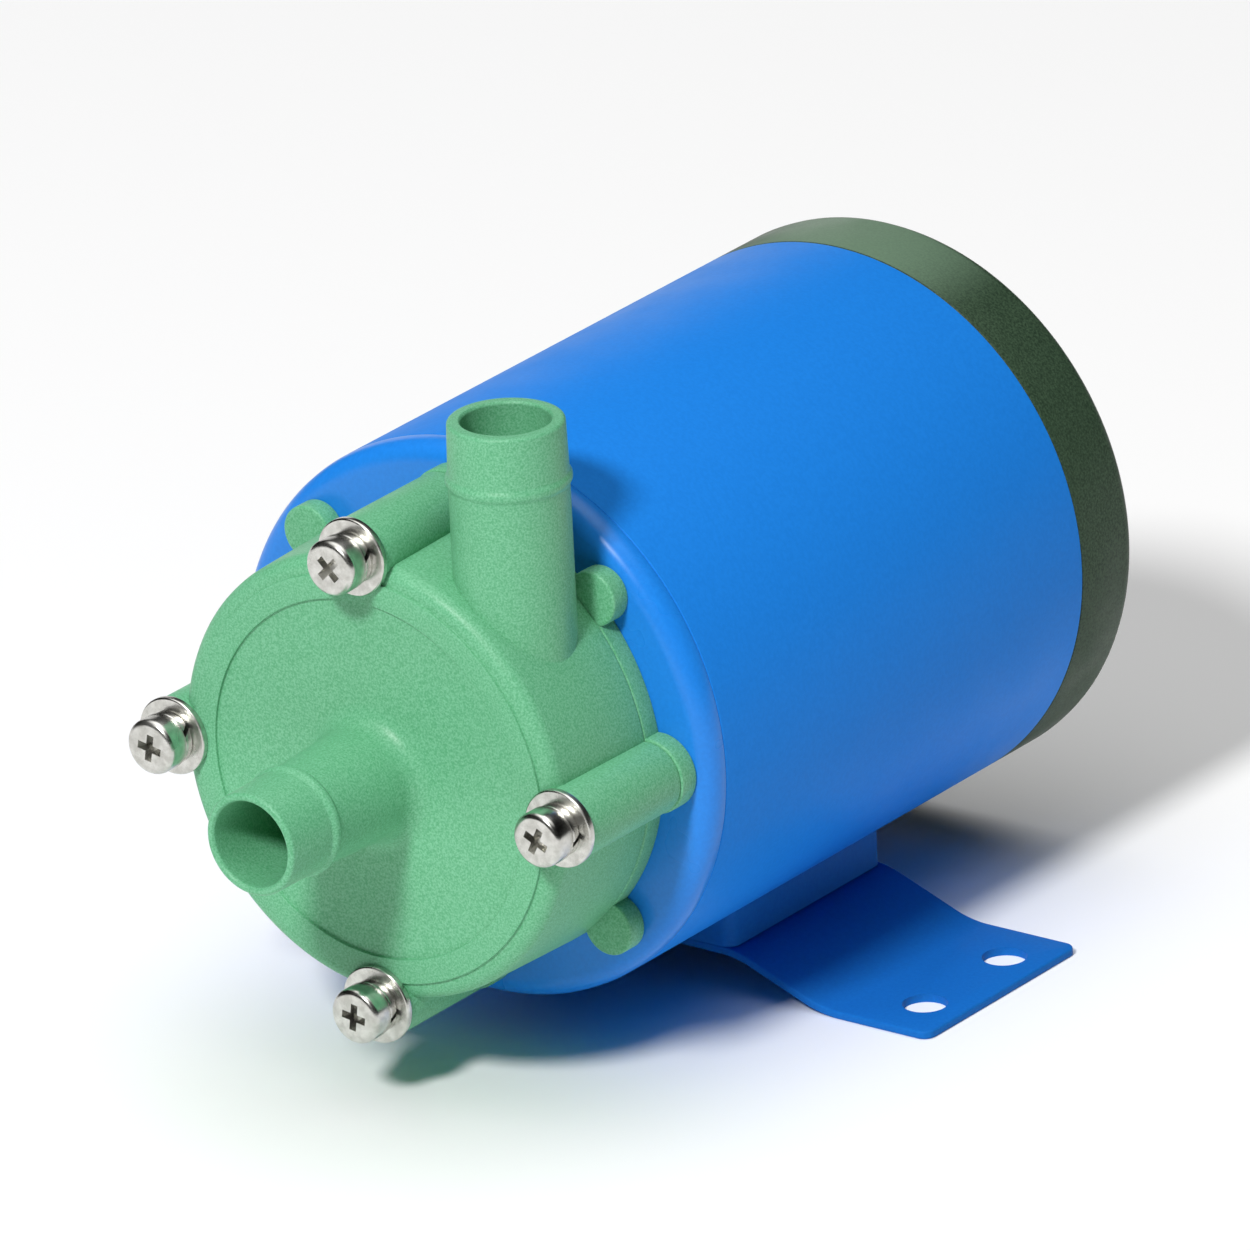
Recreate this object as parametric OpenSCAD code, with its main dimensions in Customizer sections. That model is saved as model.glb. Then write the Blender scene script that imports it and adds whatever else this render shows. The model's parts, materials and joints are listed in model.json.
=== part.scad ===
// Magnetic drive pump: moulded pump head, magnetic coupling and small induction motor on a bent foot.
// The pump axis runs along Y with the inlet at the front (-Y). The origin is on the floor, in the
// middle of the four foot holes. Stations along the axis are Y values, negative towards the inlet.

/* [Motor] */
// Outside diameter of the motor housing
motor_d = 81; // [76:0.5:96]
// Wall of the housing tube
housing_wall = 1.5; // [1:0.1:2.5]
// Length of the housing tube
housing_len = 84.5; // [82:0.5:110]
// Thickness of the front bracket disc
bracket_t = 4; // [3.5:0.1:6]
// Rounding of the bracket's front rim
rim_r = 3; // [0.5:0.1:3.4]
// Length of the rear cover
cover_len = 13; // [12:0.5:24]
// Wall of the rear cover
cover_wall = 2.5; // [1.5:0.1:3]
// Rounding of the rear cover's back edge
cover_edge_r = 2.4; // [0.5:0.1:2.4]
// Number of vent slots in the rear cover
vent_count = 18; // [8:1:24]
// Width of a vent slot
vent_w = 2.6; // [1.5:0.1:3.2]
// Length of the lamination stack
stack_len = 24; // [16:0.5:26]
// Diameter of the motor shaft
shaft_d = 8; // [6:0.1:9]
// Diameter of the rotor
rotor_d = 35; // [30:0.5:42]
// Diameter of the cooling fan
fan_d = 54; // [40:0.5:56]

/* [Pump head] */
// Diameter of the front casing
casing_d = 65.6; // [62:0.2:68]
// Depth of the front casing behind its face
casing_depth = 19.8; // [18:0.1:24]
// Narrowing of the front casing's radius from the parting plane to the front
casing_draft = 0.6; // [0.1:0.1:1.5]
// Wall of the front casing
casing_wall = 3; // [2.5:0.1:4]
// Rounding of the casing's front edge
casing_edge_r = 2; // [0.5:0.1:2.4]
// Thickness of the rear casing's flange
flange_t = 3.2; // [2.5:0.1:5]
// Inside diameter of the raised ridge on the casing's face
ridge_d = 52.2; // [46:0.2:53]
// Width of the raised ridge
ridge_w = 3.5; // [2:0.1:3.6]
// Height of the ridge and of the boss faces above the casing's face
ridge_h = 0.5; // [0.2:0.1:1]
// Pitch circle of the casing screws
screw_pcd = 66; // [63:0.1:67]
// Diameter of a screw boss
boss_d = 10.4; // [9:0.1:10.8]
// Pitch circle of the blind lobes that hold the rear casing to the bracket
lobe_pcd = 68.6; // [66:0.1:70]
// Diameter of a blind lobe
lobe_d = 8; // [7:0.1:9]

/* [Ports] */
// Bore of the inlet
inlet_bore = 12.4; // [10:0.1:12.6]
// Length of the inlet nozzle in front of the casing's face
inlet_len = 26.9; // [24:0.1:40]
// Outside diameter of the inlet's tip
inlet_tip_d = 14.8; // [14.4:0.1:15.2]
// Diameter of the inlet's hose bead
inlet_bead_d = 16; // [15.6:0.1:17]
// Distance from the inlet's tip to its bead
inlet_bead_back = 10; // [6:0.1:12]
// Diameter of the inlet's neck beside the bead
inlet_neck_d = 15; // [14.8:0.1:15.4]
// Diameter of the inlet's neck where it meets the casing
inlet_root_d = 16.4; // [15.6:0.1:19]
// Fillet between the inlet and the casing's face
inlet_fillet_r = 3; // [0.5:0.1:3.6]
// Bore of the outlet
outlet_bore = 12.4; // [11:0.1:13.4]
// Height of the outlet's tip above the pump axis
outlet_h = 52.5; // [48:0.5:70]
// Sideways distance of the outlet from the pump axis
outlet_x = 18.1; // [15:0.1:19]
// Outside diameter of the outlet's tip
outlet_tip_d = 16.2; // [15.6:0.1:16.6]
// Diameter of the outlet's hose bead
outlet_bead_d = 17.4; // [16.8:0.1:18]
// Distance from the outlet's tip to its bead
outlet_bead_back = 8.8; // [6:0.1:12]
// Diameter of the outlet's tube
outlet_tube_d = 16.6; // [16:0.1:17]

/* [Drive] */
// Inside diameter of the containment can
can_d = 26.2; // [24:0.2:27]
// Wall of the containment can
can_wall = 1.5; // [1:0.1:2]
// Depth of the can behind the bracket's face
can_depth = 22; // [20:0.5:24]
// Diameter of the spindle
spindle_d = 5; // [4:0.1:5.4]
// Diameter of the impeller
impeller_d = 44; // [38:0.5:45]
// Number of impeller vanes
vane_count = 6; // [4:1:8]
// Number of drive magnets
magnet_count = 6; // [4:2:8]
// Thickness of a drive magnet
magnet_t = 4; // [3:0.1:4.6]
// Wall of the drive yoke
yoke_wall = 2.6; // [2:0.1:3]

/* [Screws] */
// Thread diameter of the casing screws
screw_d = 4; // [3:0.1:4.4]
// Head diameter of the casing screws
screw_head_d = 8; // [6.5:0.1:9]
// Head height of the casing screws
screw_head_h = 3.5; // [2:0.1:4]
// Diameter of the flat washers
washer_d = 11.2; // [9.5:0.1:12]
// Thread diameter of the cover and bracket screws
small_screw_d = 3; // [2.5:0.1:3.2]
// Head diameter of the cover and bracket screws
small_head_d = 5.5; // [4.8:0.1:5.6]

/* [Base] */
// Height of the pump axis above the floor
axis_h = 47.5; // [46.5:0.1:56]
// Width over both feet
base_w = 106; // [102:0.5:124]
// Length of the base along the axis
base_len = 36; // [32:0.5:50]
// Thickness of the base sheet
sheet_t = 1.2; // [1:0.1:2]
// Width of each flat foot
foot_w = 18; // [16:0.5:24]
// Half width of the raised middle
rise_x = 20.4; // [19:0.1:22]
// Distance from a foot's outer edge to its hole centres
hole_edge = 6.5; // [5:0.1:9]
// Spacing of the foot holes along the base
hole_dy = 19; // [14:0.5:24]
// Diameter of the foot holes
hole_d = 6.4; // [4.5:0.1:7]
// Corner rounding of the feet
foot_corner_r = 3; // [1:0.1:5]
// Rounding of the saddle's upright corners
rail_corner_r = 2; // [1.4:0.1:4]
// Distance from the middle of the base to the bracket's front face
overhang = 48.5; // [44:0.5:60]

/* [Fits] */
// Radial clearance of pieces that are pressed or dropped together
seat_gap = 0.05; // [0.03:0.01:0.1]
// Radial clearance of the impeller bush on the spindle
spindle_gap = 0.05; // [0.02:0.01:0.09]
// End play of the impeller
end_play = 0.3; // [0.2:0.05:0.6]

/* [Hidden] */
$fn = 64;
eps = 0.01;

// Small clearances: a screw in a plain hole, a screw head in its recess, a screw tip in a blind hole
hole_gap = 0.2;
head_gap = 0.3;
tip_gap = 0.2;

// Pump head stations along the axis
tube_gap = 0.4;
face_y = -overhang;
parting_y = face_y - flange_t;
casing_front_y = parting_y - casing_depth;
boss_front_y = casing_front_y - ridge_h;
chamber_y = casing_front_y + casing_wall;
inlet_tip_y = casing_front_y - inlet_len;
outlet_y = parting_y - outlet_tube_d / 2 - tube_gap;

// Pump head sizes
casing_r = casing_d / 2;
casing_front_r = casing_r - casing_draft;
ridge_r = ridge_d / 2;
screw_r = screw_pcd / 2;
lobe_r = lobe_pcd / 2;
screw_angles = [0, 90, 180, 270];
lobe_angles = [45, 135, 225, 315];
screw_hole_r = screw_d / 2 + hole_gap;
lobe_skin = 0.9;
lobe_hole_y = parting_y + lobe_skin;
boss_edge = 0.3;
parting_chamfer = 0.3;
lobe_step = 0.25;
chamber_gap = 1.6;
chamber_r = impeller_d / 2 + chamber_gap;
volute_growth = 2;
tongue_angle = 70;
outlet_bore_z = chamber_r + volute_growth;
outlet_step = 0.8;
outlet_throat_d = outlet_bore - outlet_step;
groove_depth = 1.6;
groove_w = 2.4;
groove_wall = 0.8;
oring_r = chamber_r + volute_growth + groove_wall + groove_w / 2;

// Stationary axle of the impeller
spindle_r = spindle_d / 2;
spider_hub_wall = 1.3;
spider_hub_r = spindle_r + spider_hub_wall;
spider_reach = 5;
spider_hub_y = casing_front_y - spider_reach;
spider_inset = 1;
spider_rear_y = casing_front_y + spider_inset;
spider_rib_t = 1.6;
spider_rib_root = 0.5;
spider_angles = [90, 210, 330];
throat_lead = 2;
throat_y = spider_hub_y - throat_lead;
throat_step = 0.3;
throat_r = inlet_bore / 2 + throat_step;
thrust_t = 2;
thrust_w = 1.9;
thrust_r = spindle_r + thrust_w;
spindle_socket = 2;
spindle_y = spider_hub_y + spindle_socket;
can_r = can_d / 2;
can_out_r = can_r + can_wall;
can_floor_y = face_y + can_depth;
can_floor_t = 3.5;
can_end_y = can_floor_y + can_floor_t;

// Impeller
bush_y = spider_rear_y + thrust_t + end_play;
bush_wall = 1.8;
bush_r_in = spindle_r + spindle_gap;
bush_r = bush_r_in + bush_wall;
hub_wall = 1.4;
hub_r = bush_r + seat_gap + hub_wall;
impeller_end_y = can_floor_y - thrust_t - end_play;
capsule_gap = 0.8;
capsule_r = can_r - capsule_gap;
capsule_skin = 0.9;
shroud_t = 1.8;
shroud_gap = 1;
back_shroud_y = parting_y - shroud_gap;
front_shroud_y = chamber_y + shroud_gap;
eye_w = 2.6;
eye_r = hub_r + eye_w;
eye_wall = 1.2;
collar_inset = 1.6;
collar_y = casing_front_y + collar_inset;
mouth_gap = 0.3;
mouth_r_in = eye_r + eye_wall + mouth_gap;
mouth_wall = 1.5;
mouth_r = mouth_r_in + mouth_wall;
mouth_inset = 1;
mouth_y = casing_front_y + mouth_inset;
vane_t = 1.5;
vane_sweep = 55;
vane_steps = 8;
vane_root = 0.5;
vane_tip_gap = 0.1;
magnet_cap_t = 1.6;

// Magnetic drive
magnet_gap = 0.8;
magnet_r_in = can_out_r + magnet_gap;
magnet_r = magnet_r_in + magnet_t;
magnet_inset = 3;
magnet_y = face_y + magnet_inset;
magnet_gap_deg = 3;
yoke_r_in = magnet_r + seat_gap;
yoke_r = yoke_r_in + yoke_wall;
yoke_inset = 2;
yoke_y = face_y + yoke_inset;
can_room = 1.5;
yoke_floor_y = can_end_y + can_room;
yoke_floor_t = 3;
yoke_hub_wall = 4.5;
yoke_hub_r = shaft_d / 2 + yoke_hub_wall;
yoke_hub_len = 9;
yoke_end_y = yoke_floor_y + yoke_hub_len;
magnet_end_gap = 2;
magnet_end_y = yoke_floor_y - magnet_end_gap;
set_screw_d = 3;
set_screw_y = yoke_end_y - set_screw_d;
yoke_room = 1.5;
shaft_inset = 0.5;
shaft_y = yoke_floor_y + shaft_inset;

// Motor stations along the axis
motor_r = motor_d / 2;
housing_y = face_y + bracket_t;
housing_end_y = housing_y + housing_len;
bore_r = motor_r - housing_wall;
shield_t = 3;
bearing_w = 7;
bearing_r_in = shaft_d / 2 + seat_gap;
bearing_section = 7;
bearing_r = shaft_d / 2 + bearing_section;
ball_count = 7;
ball_r = 1.4;
ball_gap = 0.2;
race_r = (bearing_r_in + bearing_r) / 2;
race_t = 2;
pocket_wall = 2.5;
pocket_lip = 1.5;
lip_section = 4;
lip_r = shaft_d / 2 + lip_section;
shield_edge = 4;
yoke_end_gap = 1;
front_bearing_y = yoke_end_y + yoke_end_gap + pocket_lip;
rear_shield_inset = 7;
rear_shield_y = housing_end_y - rear_shield_inset;
rear_bearing_reach = 2.5;
rear_bearing_y = rear_shield_y - rear_bearing_reach;
wave_t = 0.6;
wave_gap = 0.3;
front_limit_y = front_bearing_y + bearing_w;
stack_mid_y = (front_limit_y + rear_bearing_y) / 2;
stack_y = stack_mid_y - stack_len / 2;
rotor_r = rotor_d / 2;
air_gap = 0.5;
stator_r_in = rotor_r + air_gap;
stator_r = bore_r - seat_gap;
slot_count = 12;
tooth_tip = 3;
slot_r_in = stator_r_in + tooth_tip;
back_iron = 5;
slot_r_out = stator_r - back_iron;
slot_w = 5.6;
coil_gap = 0.4;
end_turn_h = 5;
end_ring_t = 3;
end_ring_step = 1;
end_ring_r = rotor_r - end_ring_step;
end_ring_w = 5;
end_turn_edge_r = 1.6;

// Rear cover, fan and lead entry
cover_y = housing_end_y;
cover_end_y = cover_y + cover_len;
cover_wall_y = cover_end_y - cover_wall;
spigot_y = rear_shield_y + shield_t;
spigot_wall = 2;
fan_gap = 1;
fan_y = cover_y + fan_gap;
fan_room = 4;
fan_len = cover_len - cover_wall - fan_room;
fan_blades = 9;
fan_blade_t = 1.6;
fan_blade_root = 1;
fan_hub_wall = 3;
fan_hub_r = shaft_d / 2 + fan_hub_wall;
cover_screw_angles = [30, 150, 270];
cover_screw_inset = 4.6;
cover_screw_r = motor_r - cover_wall - cover_screw_inset;
cover_boss_wall = 1.9;
cover_boss_r = small_screw_d / 2 + cover_boss_wall;
small_head_h = 2.2;
cover_seat_y = cover_end_y - small_head_h;
small_recess_w = 0.8;
small_recess_share = 0.6;
small_recess_len = small_head_d * small_recess_share;
small_recess_depth = 1;
vent_r_in = 13;
vent_margin = 1.6;
vent_r_out = cover_screw_r - cover_boss_r - vent_margin;
grommet_r = 4;
grommet_lip = 1.4;
grommet_lip_t = 1.2;
grommet_inner_lip = 0.6;
grommet_inner_t = 1;
grommet_hole_r = 2.6;
grommet_angle = 210;
grommet_inset = 1;
grommet_pos_r = cover_screw_r - grommet_inset;

// Base
base_gap = 0.2;
base_top_z = axis_h - motor_r - base_gap;
sheet_mid = sheet_t / 2;
foot_x = base_w / 2 - foot_w;
hole_dx = base_w - 2 * hole_edge;
rail_inset = 0.4;
rail_x = rise_x - rail_inset;
rail_x_in = 7;
rail_wall = sheet_t;

// Casing screw stack
washer_t = 1;
spring_washer_t = 1.5;
spring_washer_step = 0.4;
spring_washer_d = screw_head_d - spring_washer_step;
spring_split = 0.7;
spring_split_angle = 35;
spring_washer_gap = 0.1;
screw_seat_y = boss_front_y - washer_t - spring_washer_t;
screw_end_y = face_y + bracket_t;
head_edge_r = 0.9;
recess_w = 1.2;
recess_len = 4.6;
recess_depth = 1.8;
recess_turns = [25, 45, 10, 8];

casing_green = [0.45, 0.73, 0.55];
paint_blue = [0.12, 0.52, 0.90];
cover_dark = [0.22, 0.26, 0.22];
steel = [0.78, 0.78, 0.76];
dark_steel = [0.45, 0.46, 0.48];
ceramic = [0.94, 0.92, 0.86];
rubber = [0.10, 0.10, 0.11];
ferrite = [0.25, 0.25, 0.27];
copper = [0.72, 0.42, 0.20];
cast_alloy = [0.70, 0.71, 0.73];
carbon = [0.18, 0.18, 0.19];
nylon = [0.86, 0.86, 0.82];

// Turns a profile about the pump axis: x is the radius and y runs rearward from station y0.
module lathe(y0) translate([0, y0, axis_h]) rotate([-90, 0, 0]) rotate_extrude() children();

// A round bar along the axis from station y0 to y1, on the pump axis unless it is placed elsewhere.
module bar(r, y0, y1) translate([0, y0, axis_h]) rotate([-90, 0, 0]) cylinder(r = r, h = y1 - y0);

// A round bar along the axis with a chamfer on its front and on its rear edge.
module chamfered_bar(r, y0, y1, front, rear) lathe(y0) polygon([
    [0, 0], [r - front, 0], [r, front], [r, y1 - y0 - rear], [r - rear, y1 - y0], [0, y1 - y0]
]);

// A round tube on the pump axis.
module sleeve(r_out, r_in, y0, y1) lathe(y0) translate([r_in, 0]) square([r_out - r_in, y1 - y0]);

// Repeats its children round the pump axis at radius r.
module around(angles, r) for (a = angles) translate([r * cos(a), 0, r * sin(a)]) children();

// Extrudes an outline along the axis. The outline's x is the part's X and its y points down.
module slab(y0, y1) translate([0, y0, axis_h]) rotate([-90, 0, 0]) linear_extrude(y1 - y0) children();

// Cross recess of a screw head on the pump axis, from station y0 to y1.
module cross_recess(y0, y1, len, w, turn) translate([0, y0, axis_h]) for (arm = [0, 90])
    rotate([0, turn + arm, 0]) translate([-len / 2, 0, -w / 2]) cube([len, y1 - y0, w]);

// Half section of a pan head from its crown at y = 0 to its seat at y = h.
module pan_profile(r, h) {
    translate([0, head_edge_r]) square([r, h - head_edge_r]);
    square([r - head_edge_r, h]);
    translate([r - head_edge_r, head_edge_r]) circle(head_edge_r);
}

// Pump head

// Hose nozzle from its tip at y = 0 to y = len, with one raised bead and a neck that widens to its root.
module nozzle_profile(tip_r, bead_r, bead_y, neck_r, root_r, len) {
    edge = 0.5;
    bead_flat = 0.7;
    bead_slope = 0.6;
    polygon([
        [0, 0], [tip_r - edge, 0], [tip_r, edge],
        [neck_r, bead_y - bead_flat - bead_slope], [bead_r, bead_y - bead_flat], [bead_r, bead_y],
        [neck_r, bead_y + bead_slope], [root_r, len], [0, len]
    ]);
}

// Root of radius r in front of the face at y = 0, with a concave fillet between the two.
module fillet_profile(r, fillet_r) difference() {
    translate([0, -fillet_r]) square([r + fillet_r, fillet_r + eps]);
    translate([r + fillet_r, -fillet_r]) circle(fillet_r);
}

// Half section of the casing's body behind its face at y = 0, with a rounded front edge, a drafted side, a
// chamfered rear edge and the raised ridge.
module casing_profile() {
    rear = casing_depth - parting_chamfer;
    polygon([
        [0, casing_edge_r], [casing_front_r, casing_edge_r], [casing_r, rear],
        [casing_r - parting_chamfer, casing_depth], [0, casing_depth]
    ]);
    square([casing_front_r - casing_edge_r, casing_depth]);
    intersection() {
        translate([casing_front_r - casing_edge_r, casing_edge_r]) circle(casing_edge_r);
        square([casing_front_r, casing_edge_r]);
    }
    translate([ridge_r, -ridge_h]) square([ridge_w, 2 * ridge_h]);
}

module casing_body() {
    lathe(casing_front_y) casing_profile();
    around(screw_angles, screw_r)
        chamfered_bar(boss_d / 2, boss_front_y, parting_y, boss_edge, parting_chamfer);
    lathe(inlet_tip_y) nozzle_profile(
        inlet_tip_d / 2, inlet_bead_d / 2, inlet_bead_back, inlet_neck_d / 2, inlet_root_d / 2,
        inlet_len - inlet_fillet_r
    );
    lathe(casing_front_y) fillet_profile(inlet_root_d / 2, inlet_fillet_r);
    translate([outlet_x, outlet_y, axis_h + outlet_h]) rotate([180, 0, 0]) rotate_extrude() nozzle_profile(
        outlet_tip_d / 2, outlet_bead_d / 2, outlet_bead_back, outlet_tube_d / 2, outlet_tube_d / 2,
        outlet_h
    );
}

// Spiral chamber: its radius grows with the flow, from the tongue beside the outlet round to the outlet.
module volute_outline() {
    turn = 350;
    step = 10;
    polygon([for (a = [0 : step : turn])
        let (r = chamber_r + volute_growth * a / turn, t = -tongue_angle - a) [r * cos(t), r * sin(t)]]);
}

module casing_cuts() {
    slab(chamber_y, parting_y + eps) volute_outline();
    bar(inlet_bore / 2, inlet_tip_y - eps, throat_y + eps);
    bar(throat_r, throat_y, chamber_y + eps);
    bar(eye_r, spider_rear_y, chamber_y + eps);
    bar(mouth_r + seat_gap, mouth_y, chamber_y + eps);
    translate([outlet_x, outlet_y, axis_h + outlet_bore_z])
        cylinder(d = outlet_bore, h = outlet_h - outlet_bore_z + eps);
    translate([outlet_x, outlet_y, axis_h]) cylinder(d = outlet_throat_d, h = outlet_bore_z + eps);
    around(screw_angles, screw_r) bar(screw_hole_r, boss_front_y - eps, parting_y + eps);
    sleeve(oring_r + groove_w / 2, oring_r - groove_w / 2, parting_y - groove_depth, parting_y + eps);
}

module spindle_spider() {
    difference() {
        union() {
            bar(spider_hub_r, spider_hub_y, spider_rear_y);
            for (a = spider_angles)
                translate([0, 0, axis_h]) rotate([0, -a, 0])
                    translate([0, spider_hub_y, -spider_rib_t / 2])
                        cube([throat_r + spider_rib_root, spider_rear_y - spider_hub_y, spider_rib_t]);
        }
        bar(spindle_r + seat_gap, spindle_y, spider_rear_y + eps);
    }
}

module front_casing() color(casing_green) {
    difference() {
        casing_body();
        casing_cuts();
    }
    spindle_spider();
}

module flange_disc(r) chamfered_bar(r, parting_y, face_y, parting_chamfer, parting_chamfer);

module rear_casing() color(casing_green) difference() {
    union() {
        flange_disc(casing_r);
        around(screw_angles, screw_r) flange_disc(boss_d / 2 + lobe_step);
        around(lobe_angles, lobe_r) flange_disc(lobe_d / 2);
        bar(can_out_r, face_y - eps, can_end_y);
    }
    bar(can_r, parting_y - eps, can_floor_y);
    bar(spindle_r + seat_gap, can_floor_y - eps, can_floor_y + spindle_socket);
    around(screw_angles, screw_r) bar(screw_hole_r, parting_y - eps, face_y + eps);
    around(lobe_angles, lobe_r) bar(small_screw_d / 2, lobe_hole_y, face_y + eps);
}

module casing_o_ring() color(rubber)
    lathe(parting_y - groove_depth / 2) translate([oring_r, 0]) circle(groove_depth / 2 - seat_gap);

module casing_screws() color(steel) for (i = [0 : len(screw_angles) - 1])
    around([screw_angles[i]], screw_r) difference() {
        crown_y = screw_seat_y - screw_head_h;
        union() {
            lathe(crown_y) pan_profile(screw_head_d / 2, screw_head_h);
            bar(screw_d / 2 - seat_gap, screw_seat_y - eps, screw_end_y);
        }
        cross_recess(crown_y - eps, crown_y + recess_depth, recess_len, recess_w, recess_turns[i]);
    }

module spring_washers() color(steel) around(screw_angles, screw_r) difference() {
    end_y = screw_seat_y + spring_washer_t;
    sleeve(spring_washer_d / 2, screw_d / 2 + spring_washer_gap, screw_seat_y, end_y);
    translate([0, screw_seat_y + spring_washer_t / 2, axis_h + spring_washer_d / 2])
        rotate([0, 0, spring_split_angle])
            cube([spring_split, 3 * spring_washer_t, spring_washer_d], center = true);
}

module flat_washers() color(steel) around(screw_angles, screw_r)
    sleeve(washer_d / 2, screw_d / 2 + hole_gap, boss_front_y - washer_t, boss_front_y);

// Stationary axle

module spindle() color(ceramic) bar(spindle_r, spindle_y, can_floor_y + spindle_socket);

module front_thrust_ring() color(ceramic)
    sleeve(thrust_r, spindle_r + seat_gap, spider_rear_y, spider_rear_y + thrust_t);

module rear_thrust_ring() color(ceramic)
    sleeve(thrust_r, spindle_r + seat_gap, can_floor_y - thrust_t, can_floor_y);

module mouth_ring() color(nylon) sleeve(mouth_r, mouth_r_in, mouth_y, chamber_y);

// Impeller

function vane_point(r, sweep, side) =
    [r * cos(sweep), r * sin(sweep)] + side * vane_t / 2 * [-sin(sweep), cos(sweep)];

// Backward-curved vane: its tip lags behind its root as the impeller turns.
module vane_outline() {
    r0 = hub_r - vane_root;
    r1 = impeller_d / 2;
    radii = [for (i = [0 : vane_steps]) r0 + (r1 - r0) * i / vane_steps];
    sweeps = [for (i = [0 : vane_steps]) vane_sweep * i / vane_steps];
    polygon(concat(
        [for (i = [0 : vane_steps]) vane_point(radii[i], sweeps[i], 1)],
        [for (i = [vane_steps : -1 : 0]) vane_point(radii[i], sweeps[i], -1)]
    ));
}

module impeller() color(casing_green) {
    vane_y = front_shroud_y + shroud_t;
    vane_end_y = back_shroud_y - shroud_t;
    difference() {
        union() {
            intersection() {
                slab(vane_y - eps, vane_end_y + eps)
                    for (i = [0 : vane_count - 1]) rotate(360 / vane_count * i) vane_outline();
                bar(impeller_d / 2 - vane_tip_gap, vane_y - shroud_t, vane_end_y + shroud_t);
            }
            sleeve(impeller_d / 2, eye_r, front_shroud_y, vane_y);
            sleeve(eye_r + eye_wall, eye_r, collar_y, front_shroud_y + eps);
            bar(impeller_d / 2, vane_end_y, back_shroud_y);
            bar(hub_r, bush_y, back_shroud_y);
            bar(capsule_r, back_shroud_y - eps, impeller_end_y);
        }
        bar(bush_r + seat_gap, bush_y - eps, impeller_end_y + eps);
        sleeve(capsule_r - capsule_skin, hub_r, back_shroud_y, impeller_end_y + eps);
    }
}

module impeller_bush() color(carbon) sleeve(bush_r, bush_r_in, bush_y, impeller_end_y);

module impeller_magnet() color(ferrite) sleeve(
    capsule_r - capsule_skin - seat_gap, hub_r + seat_gap, back_shroud_y, impeller_end_y - magnet_cap_t
);

module magnet_cap() color(casing_green) sleeve(
    capsule_r - capsule_skin - seat_gap, hub_r + seat_gap, impeller_end_y - magnet_cap_t, impeller_end_y
);

// Magnetic drive and rotor

module drive_yoke() color(dark_steel) difference() {
    union() {
        sleeve(yoke_r, yoke_r_in, yoke_y, yoke_floor_y + eps);
        bar(yoke_r, yoke_floor_y, yoke_floor_y + yoke_floor_t);
        bar(yoke_hub_r, yoke_floor_y, yoke_end_y);
    }
    bar(shaft_d / 2 + seat_gap, yoke_floor_y - eps, yoke_end_y + eps);
    translate([0, set_screw_y, axis_h]) cylinder(d = set_screw_d, h = yoke_hub_r + eps);
}

module drive_magnets() color(ferrite) {
    span = 360 / magnet_count - magnet_gap_deg;
    for (i = [0 : magnet_count - 1])
        translate([0, magnet_y, axis_h]) rotate([-90, 0, 0]) rotate(360 / magnet_count * i)
            rotate_extrude(angle = span)
                translate([magnet_r_in, 0]) square([magnet_t, magnet_end_y - magnet_y]);
}

module yoke_screw() color(dark_steel)
    translate([0, set_screw_y, axis_h + shaft_d / 2])
        cylinder(r = set_screw_d / 2 - seat_gap, h = yoke_hub_r - shaft_d / 2);

module motor_shaft() color(steel) bar(shaft_d / 2, shaft_y, fan_y + fan_len);

module rotor_core() color(dark_steel) sleeve(rotor_r, shaft_d / 2 + seat_gap, stack_y, stack_y + stack_len);

module rotor_end_rings() color(cast_alloy) {
    inner = end_ring_r - end_ring_w;
    sleeve(end_ring_r, inner, stack_y - end_ring_t, stack_y);
    sleeve(end_ring_r, inner, stack_y + stack_len, stack_y + stack_len + end_ring_t);
}

module cooling_fan() color(nylon) difference() {
    union() {
        bar(fan_hub_r, fan_y, fan_y + fan_len);
        bar(fan_d / 2, fan_y, fan_y + fan_blade_t);
        for (i = [0 : fan_blades - 1])
            translate([0, 0, axis_h]) rotate([0, 360 / fan_blades * i, 0])
                translate([fan_hub_r - fan_blade_root, fan_y, -fan_blade_t / 2])
                    cube([fan_d / 2 - fan_hub_r, fan_len, fan_blade_t]);
    }
    bar(shaft_d / 2 + seat_gap, fan_y - eps, fan_y + fan_len + eps);
}

// Bearings

module race_groove(y0) lathe(y0 + bearing_w / 2) translate([race_r, 0]) circle(ball_r + ball_gap);

module bearing_outer_rings() color(steel) for (y0 = [front_bearing_y, rear_bearing_y]) difference() {
    sleeve(bearing_r, bearing_r - race_t, y0, y0 + bearing_w);
    race_groove(y0);
}

module bearing_inner_rings() color(steel) for (y0 = [front_bearing_y, rear_bearing_y]) difference() {
    sleeve(bearing_r_in + race_t, bearing_r_in, y0, y0 + bearing_w);
    race_groove(y0);
}

module bearing_balls() color(steel) for (y0 = [front_bearing_y, rear_bearing_y])
    around([for (i = [0 : ball_count - 1]) 360 / ball_count * i], race_r)
        translate([0, y0 + bearing_w / 2, axis_h]) sphere(ball_r);

module wave_washer() color(steel) sleeve(
    bearing_r - wave_gap, lip_r + wave_gap, rear_bearing_y + bearing_w, rear_bearing_y + bearing_w + wave_t
);

// Motor

module front_shield() color(cast_alloy) {
    pocket_r = bearing_r + seat_gap;
    lip_y = front_bearing_y - pocket_lip;
    sleeve(pocket_r + pocket_wall, lip_r, lip_y, front_bearing_y);
    sleeve(pocket_r + pocket_wall, pocket_r, front_bearing_y - eps, front_bearing_y + bearing_w);
    sleeve(bore_r - seat_gap, pocket_r + pocket_wall - eps, lip_y, lip_y + shield_t);
    sleeve(bore_r - seat_gap, bore_r - shield_edge, lip_y, front_bearing_y + bearing_w);
}

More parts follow.
